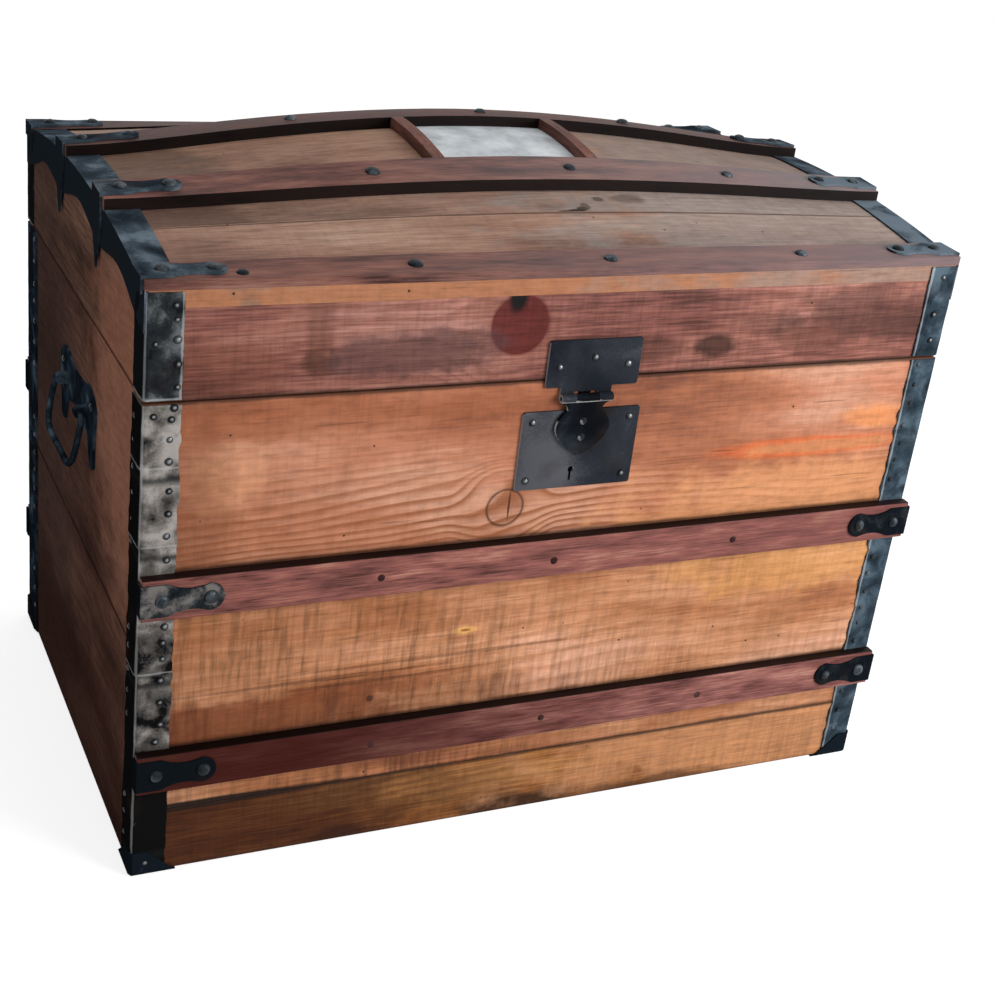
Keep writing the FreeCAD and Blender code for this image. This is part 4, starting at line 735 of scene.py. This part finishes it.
shape = bmesh.new()
fold_iron(shape, (-1, -1), IRON_FOOT, IRON_TOP, LEAF, LEAF, 1.0,
          laps=(0.416, 0.343, 0.218, 0.030), ragged=0.003, bent=0.0008)
iron_piece("hammered_iron_front_left", shape, bare_iron, "corner_iron_front_left")
shape = bmesh.new()
fold_iron(shape, (1, -1), IRON_FOOT, IRON_TOP, LEAF, LEAF, 2.0, ragged=0.004)
iron_piece("hammered_iron_front_right", shape, blue_iron, "corner_iron_front_right")
shape = bmesh.new()
fold_iron(shape, (-1, 1), IRON_FOOT, IRON_TOP, LEAF, WIDE_LEAF, 3.0)
fold_iron(shape, (1, 1), IRON_FOOT, IRON_TOP, LEAF, WIDE_LEAF, 4.0)
iron_piece("hammered_irons_back", shape, black_iron, "corner_irons_back")

# ---- Lock and hasp ---------------------------------------------------------------------
# Blackened plates with filed edges, painted pale along the left as a highlight; the hasp hangs
# on its pin from the lid's plate.
# the pale left edges of the plates and the hasp are a painted highlight
plate_iron = sheet_iron("blackened_plate_iron", ("#1a1e24", "#292c32", "#4c4d52"), dents=0.1,
                        cell=0.06, wear_level=0.54,
                        sheen_level=0.08, highlight_and_rub_side=(-0.8, -0.3, -0.5), highlight_and_rub_reach=0.5,
                        edge_tone="#c4c7ca",
                        marks=(((-0.04, -0.25, 0.41), (0.035, 0.02, 0.06), 0.14),))
hasp_iron = sheet_iron("black_hasp_iron", ("#0a0c10", "#14171d", "#2b3037"), dents=0.1, rough=0.3,
                       metallic=0.2, wear_level=0.56, sheen_level=0.04, cell=0.03,
                       highlight_and_rub_side=(-0.8, -0.3, -0.5), highlight_and_rub_reach=0.5, edge_tone="#f2f4f5")
steel = sheet_iron("dull_steel_pin", ("#202225", "#303336", "#54575a"), dents=0.0, metallic=0.5,
                   sheen_level=0.1)
wear(steel, "hinge_pins", "hasp_pin")
wear(plate_iron, "lock_case", "lock_bolt", "hasp_staple")
for name, finish, filed in (("lock_plate", plate_iron, 0.0010),
                            ("hasp_plate", plate_iron, 0.0010), ("hasp", hasp_iron, 0.0015)):
    softened(name, finish, filed, angle=18.0, front_only=True)

# ---- Nails -----------------------------------------------------------------------------
# Hand-forged round heads hold the clamps and slats, and small ones the sheet iron. Each was
# hammered down by eye, so they differ a little in size, tilt and dents.
nail_tree = bpy.data.node_groups.new("hammered_nails", "GeometryNodeTree")
for title, kind in (("Geometry", "Geometry"), ("Radius", "Float"), ("Height", "Float"),
                    ("Tilt", "Float"), ("Dents", "Float"), ("Seed", "Int"), ("Iron", "Material")):
    nail_tree.interface.new_socket(title, in_out="INPUT", socket_type="NodeSocket" + kind)
nail_tree.interface.new_socket("Geometry", in_out="OUTPUT", socket_type="NodeSocketGeometry")
given = nail_tree.nodes.new("NodeGroupInput").outputs
facing = add(nail_tree, "GeometryNodeInputNamedAttribute", {"Name": "facing"},
             data_type="FLOAT_VECTOR")
girth = add(nail_tree, "GeometryNodeInputNamedAttribute", {"Name": "girth"}, data_type="FLOAT")
square = add(nail_tree, "FunctionNodeAlignRotationToVector", {"Vector": facing}, axis="Z")
tilt = add(nail_tree, "FunctionNodeRandomValue", {"Min": (-1, -1, -9), "Max": (1, 1, 9),
                                                  "Seed": given["Seed"]}, data_type="FLOAT_VECTOR")
tilt = add(nail_tree, "VectorMath", {0: tilt, 3: given["Tilt"]}, operation="SCALE")
tilt = add(nail_tree, "FunctionNodeEulerToRotation", {0: tilt})
turned = add(nail_tree, "FunctionNodeRotateRotation", {0: square, 1: tilt}, rotation_space="LOCAL")
vary = add(nail_tree, "FunctionNodeRandomValue", {"Min": 0.88, "Max": 1.1, "Seed": given["Seed"]},
           data_type="FLOAT")
vary = add(nail_tree, "Math", {0: vary, 1: girth}, operation="MULTIPLY")
across = add(nail_tree, "Math", {0: vary, 1: given["Radius"]}, operation="MULTIPLY")
rise = add(nail_tree, "Math", {0: vary, 1: given["Height"]}, operation="MULTIPLY")
sizes = add(nail_tree, "CombineXYZ", {0: across, 1: across, 2: rise})
head = add(nail_tree, "GeometryNodeMeshUVSphere", {"Segments": 12, "Rings": 6, "Radius": 1.0})
placed = add(nail_tree, "GeometryNodeInstanceOnPoints",
             {"Points": given["Geometry"], "Instance": head, "Rotation": turned, "Scale": sizes})
real = add(nail_tree, "GeometryNodeRealizeInstances", {0: placed})
spot = add(nail_tree, "GeometryNodeInputPosition")
beat = add(nail_tree, "TexNoise", {"Vector": spot, "Scale": 260.0, "Detail": 1.0})
beat = add(nail_tree, "VectorMath", {0: beat.outputs["Color"], 1: (0.5, 0.5, 0.5)},
           operation="SUBTRACT")
beat = add(nail_tree, "VectorMath", {0: beat, 3: given["Dents"]}, operation="SCALE")
beaten = add(nail_tree, "GeometryNodeSetPosition", {"Geometry": real, "Offset": beat})
smooth = add(nail_tree, "GeometryNodeSetShadeSmooth", {"Geometry": beaten})
finished = add(nail_tree, "GeometryNodeSetMaterial",
               {"Geometry": smooth, "Material": given["Iron"]})
result = nail_tree.nodes.new("NodeGroupOutput")
nail_tree.links.new(finished.outputs[0], result.inputs[0])


def drive_nails(name, body, places, iron, radius, height, seed, replaced=()):
    """Nail heads at places: each a seat, the way the head faces, and its relative girth."""
    mesh = bpy.data.meshes.new(name)
    mesh.from_pydata([seat for seat, _, _ in places], [], [])
    mesh.attributes.new("facing", "FLOAT_VECTOR", "POINT").data.foreach_set(
        "vector", [c for _, way, _ in places for c in way])
    mesh.attributes.new("girth", "FLOAT", "POINT").data.foreach_set(
        "value", [girth for _, _, girth in places])
    piece = set_down(name, mesh)
    modifier = piece.modifiers.new("nails", "NODES")
    modifier.node_group = nail_tree
    wanted = {"Radius": radius, "Height": height, "Tilt": 0.05, "Dents": 0.0006, "Seed": seed,
              "Iron": iron}
    for socket in nail_tree.interface.items_tree:
        if socket.in_out == "INPUT" and socket.name in wanted:
            modifier[socket.identifier] = wanted[socket.name]
    view = bpy.context.evaluated_depsgraph_get()
    made = bpy.data.meshes.new_from_object(piece.evaluated_get(view), depsgraph=view)
    piece.modifiers.clear()
    piece.data = made
    if replaced:
        stand_for(piece, *replaced)
    else:
        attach(piece, body)


def nail_places(name):
    """Seat and facing of every nail in a node: the base is the widest flat of each head."""
    shape = bmesh.new()
    shape.from_mesh(nodes[name].data)
    bmesh.ops.remove_doubles(shape, verts=shape.verts, dist=1e-6)
    left, places = set(shape.faces), []
    while left:
        island, queue = [], [left.pop()]
        while queue:
            face = queue.pop()
            island.append(face)
            for edge in face.edges:
                for other in edge.link_faces:
                    if other in left:
                        left.remove(other)
                        queue.append(other)
        flats = {}
        for face in island:
            key = tuple(round(c, 2) for c in face.normal)
            flats.setdefault(key, []).append(face)
        base = max(flats.values(), key=lambda group: sum(f.calc_area() for f in group))
        corners = {v for f in base for v in f.verts}
        seat = sum((v.co for v in corners), Vector()) / len(corners)
        places.append((tuple(seat), tuple(-base[0].normal), 1.0))
    shape.free()
    return places


def seat_from_above(name, spots):
    """Seats on a node's upper side, below each (x, y)."""
    mesh = nodes[name].data
    sheet = BVHTree.FromPolygons([v.co for v in mesh.vertices],
                                 [p.vertices for p in mesh.polygons])
    places = []
    for x, y in spots:
        seat, way, _, _ = sheet.ray_cast(Vector((x, y, 1.0)), Vector((0, 0, -1)))
        places.append((tuple(seat), tuple(way), 1.0))
    return places


nail_iron = sheet_iron("forged_nail_iron", ("#15181b", "#2a2f33", "#5d646a"), dents=0.0,
                       rough=0.38, sheen_level=0.2)
# the pale tops of these nail heads, facing front and up, are a painted highlight
nail_with_painted_highlight = sheet_iron("nail_iron_painted_highlight", ("#15171a", "#1d2022", "#4d5052"), dents=0.0,
                         rough=0.34, metallic=0.6, sheen_level=0.3, highlight_and_rub_side=(0, -0.99, 0.14))
for seed, (name, body, node, iron, radius, height) in enumerate((
        ("clamp_nails_trunk", "trunk", "carcass_clamp_nails", nail_iron, 0.0062, 0.0034),
        ("clamp_nails_lid", "lid", "lid_clamp_nails", nail_iron, 0.0062, 0.0034),
        ("plate_nails_trunk", "trunk", "plate_nails", nail_with_painted_highlight, 0.0036, 0.0019),
        ("plate_nails_lid", "lid", "hasp_plate_nails", nail_with_painted_highlight, 0.0036, 0.0019)), 1):
    drive_nails(name, body, nail_places(node), iron, radius, height, seed, replaced=[node])

OUT = (0, -1, 0)
BACK = (0, 1, 0)
SLAT_FACE = -0.260          # outer face of the front slats
stained_nail = sheet_iron("nail_iron_stained_over", ("#241413", "#34201d", "#55393a"), dents=0.0,
                          rough=0.5, metallic=0.1, sheen_level=0.1)
drive_nails("slat_nails_trunk", "trunk",
            [((x, SLAT_FACE, z), OUT, 1.0) for x, z in
             ((-0.183, 0.296), (-0.009, 0.294), (0.189, 0.296), (-0.177, 0.116), (0.002, 0.117),
              (0.182, 0.116))]
            + [((x, -SLAT_FACE, z), BACK, 1.0) for z in (0.296, 0.117)
               for x in (-0.18, 0.01, 0.185)], stained_nail, 0.0036, 0.0009, 5)
lid_spots = (("lid_slat_front", -0.229, (-0.166, 0.022, 0.226)),
             ("lid_slat_crown_front", -0.081, (-0.153, 0.048, 0.227)),
             ("lid_slat_crown_back", 0.076, (-0.181, 0.021, 0.189)),
             ("lid_slat_back", 0.229, (-0.170, 0.020, 0.215)))
drive_nails("slat_nails_lid", "lid",
            [place for slat, y, xs in lid_spots
             for place in seat_from_above(slat, [(x, y) for x in xs])]
            + [(seat, way, 0.72) for seat, way, _ in
               seat_from_above("lid_slat_front", [(-0.3190, -0.236)])],
            nail_iron, 0.0068, 0.0040, 6)

# nails along the edges of the corner irons, as each smith's hand spaced them
IRON_FACE = FRONT - SHEET   # outer face of the front irons
LAPPED = 0.0003             # how much further out the lapped front left iron carries them
front_left = ((-0.375, 0.470), (-0.377, 0.460), (-0.392, 0.463), (-0.378, 0.442), (-0.378, 0.422),
              (-0.377, 0.395), (-0.377, 0.374), (-0.378, 0.353), (-0.377, 0.330), (-0.377, 0.265),
              (-0.378, 0.249), (-0.378, 0.233), (-0.379, 0.211), (-0.379, 0.188), (-0.378, 0.165),
              (-0.382, 0.147), (-0.388, 0.015))
drive_nails("iron_nails_front_left", "trunk",
            [((x, IRON_FACE - LAPPED, z), OUT, 1.0) for x, z in front_left],
            nail_with_painted_highlight, 0.0036, 0.0020, 7)
CLAMPED = ((0.092, 0.144), (0.272, 0.322))      # heights that the slat clamps cover
LEAF_LINE = 0.3785          # nails of the front and back leaves, from the middle
spaced = random.Random(5)
others = []
for side_x, side_y, by_hand in ((1, -1, False), (-1, 1, False), (1, 1, False), (-1, -1, True)):
    inset = 0.022 if side_y < 0 else 0.040
    z = 0.036
    while z < 0.468:
        if not any(low < z < high for low, high in CLAMPED):
            if not by_hand:
                others.append(((side_x * (LEAF_LINE + spaced.uniform(-0.0015, 0.0015)),
                                side_y * (HALF_DEPTH + SHEET), z), (0, side_y, 0), 1.0))
            others.append(((side_x * (HALF_LENGTH + SHEET), side_y * (HALF_DEPTH - inset), z),
                           (side_x, 0, 0), 1.0))
        z += spaced.uniform(0.018, 0.025)
drive_nails("iron_nails_trunk", "trunk", others, nail_iron, 0.0028, 0.0016, 8)
lid_nails = [((x, IRON_FACE, z), OUT, 1.0) for x, z in
             ((-0.376, 0.558), (-0.375, 0.546), (-0.374, 0.529), (-0.373, 0.508), (-0.373, 0.488),
              (-0.392, 0.526), (0.385, 0.558), (0.383, 0.520), (0.386, 0.493))]
lid_nails += [((x, -IRON_FACE, z), BACK, 1.0) for x in (-0.376, 0.376)
              for z in (0.488, 0.512, 0.535, 0.556)]
drive_nails("iron_nails_lid", "lid", lid_nails, nail_with_painted_highlight, 0.0034, 0.0019, 9)

shape = bmesh.new()
lid_iron_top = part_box("lid_corner_irons")[1][2]
for number, corner in enumerate(((-1, -1), (1, -1), (-1, 1), (1, 1))):
    fold_iron(shape, corner, LID_IRON_FOOT, lid_iron_top, LEAF, LEAF, 10.0 + number,
              ragged=0.0015, bent=0.0006)
iron_piece("hammered_irons_lid", shape, lid_iron, "lid_corner_irons", right=blue_iron)

# ---- Floor, light and camera -----------------------------------------------------------
# A plain white floor that keeps the trunk's shadow, and soft light from the front right and
# from above.


def seen_directly(tree):
    """One where the camera, a reflection or clear glass shows a thing, nothing where it lights."""
    rays = add(tree, "LightPath").outputs
    seen = add(tree, "Math", {0: rays["Is Camera Ray"], 1: rays["Is Glossy Ray"]},
               operation="MAXIMUM")
    return add(tree, "Math", {0: seen, 1: rays["Is Transmission Ray"]}, operation="MAXIMUM")


floor_finish, tree, shader = blank("white_floor")
shader.inputs["Base Color"].default_value = (0.5, 0.5, 0.5, 1)
shader.inputs["Roughness"].default_value = 1.0
shader.inputs["Specular IOR Level"].default_value = 0.0
glow = add(tree, "Math", {0: seen_directly(tree), 1: 0.75}, operation="MULTIPLY")
glow = add(tree, "Emission", {"Strength": glow})
both = add(tree, "AddShader", {0: shader.outputs[0], 1: glow})
tree.links.new(both.outputs[0], tree.nodes["Material Output"].inputs["Surface"])
floor_mesh = bpy.data.meshes.new("floor")
floor_mesh.from_pydata([(-9, -9, 0), (9, -9, 0), (9, 9, 0), (-9, 9, 0)], [], [(0, 1, 2, 3)])
floor_mesh.materials.append(floor_finish)
floor = set_down("floor", floor_mesh)

world = bpy.data.worlds.new("studio")
bpy.context.scene.world = world
world.use_nodes = True
tree = world.node_tree
strength = add(tree, "MapRange", {0: seen_directly(tree), 1: 0.0, 2: 1.0, 3: 0.5, 4: 1.0})
tree.links.new(strength.outputs[0], tree.nodes["Background"].inputs["Strength"])
tree.nodes["Background"].inputs["Color"].default_value = (1, 1, 1, 1)


def lamp(name, power, size, place, aim):
    """A soft square lamp turned towards a point."""
    light = bpy.data.lights.new(name, "AREA")
    light.energy = power
    light.size = size
    item = set_down(name, light)
    item.location = place
    item.rotation_euler = (Vector(aim) - Vector(place)).to_track_quat("-Z", "Y").to_euler()


lamp("key", 50.0, 1.2, (1.3, -1.8, 1.15), (0, 0, 0.3))
lamp("top", 14.0, 1.8, (0.3, 0.2, 2.6), (0, 0, 0.3))

lens = bpy.data.cameras.new("camera")
lens.lens = 61.34373686
lens.sensor_width = 36.0
camera = set_down("camera", lens)
camera.location = (-0.71595968, -1.49497396, 1.02096705)
camera.rotation_euler = [math.radians(a) for a in (64.61952545, -6.51932293, -24.26123955)]
bpy.context.scene.camera = camera
bpy.context.scene.view_settings.view_transform = "Standard"
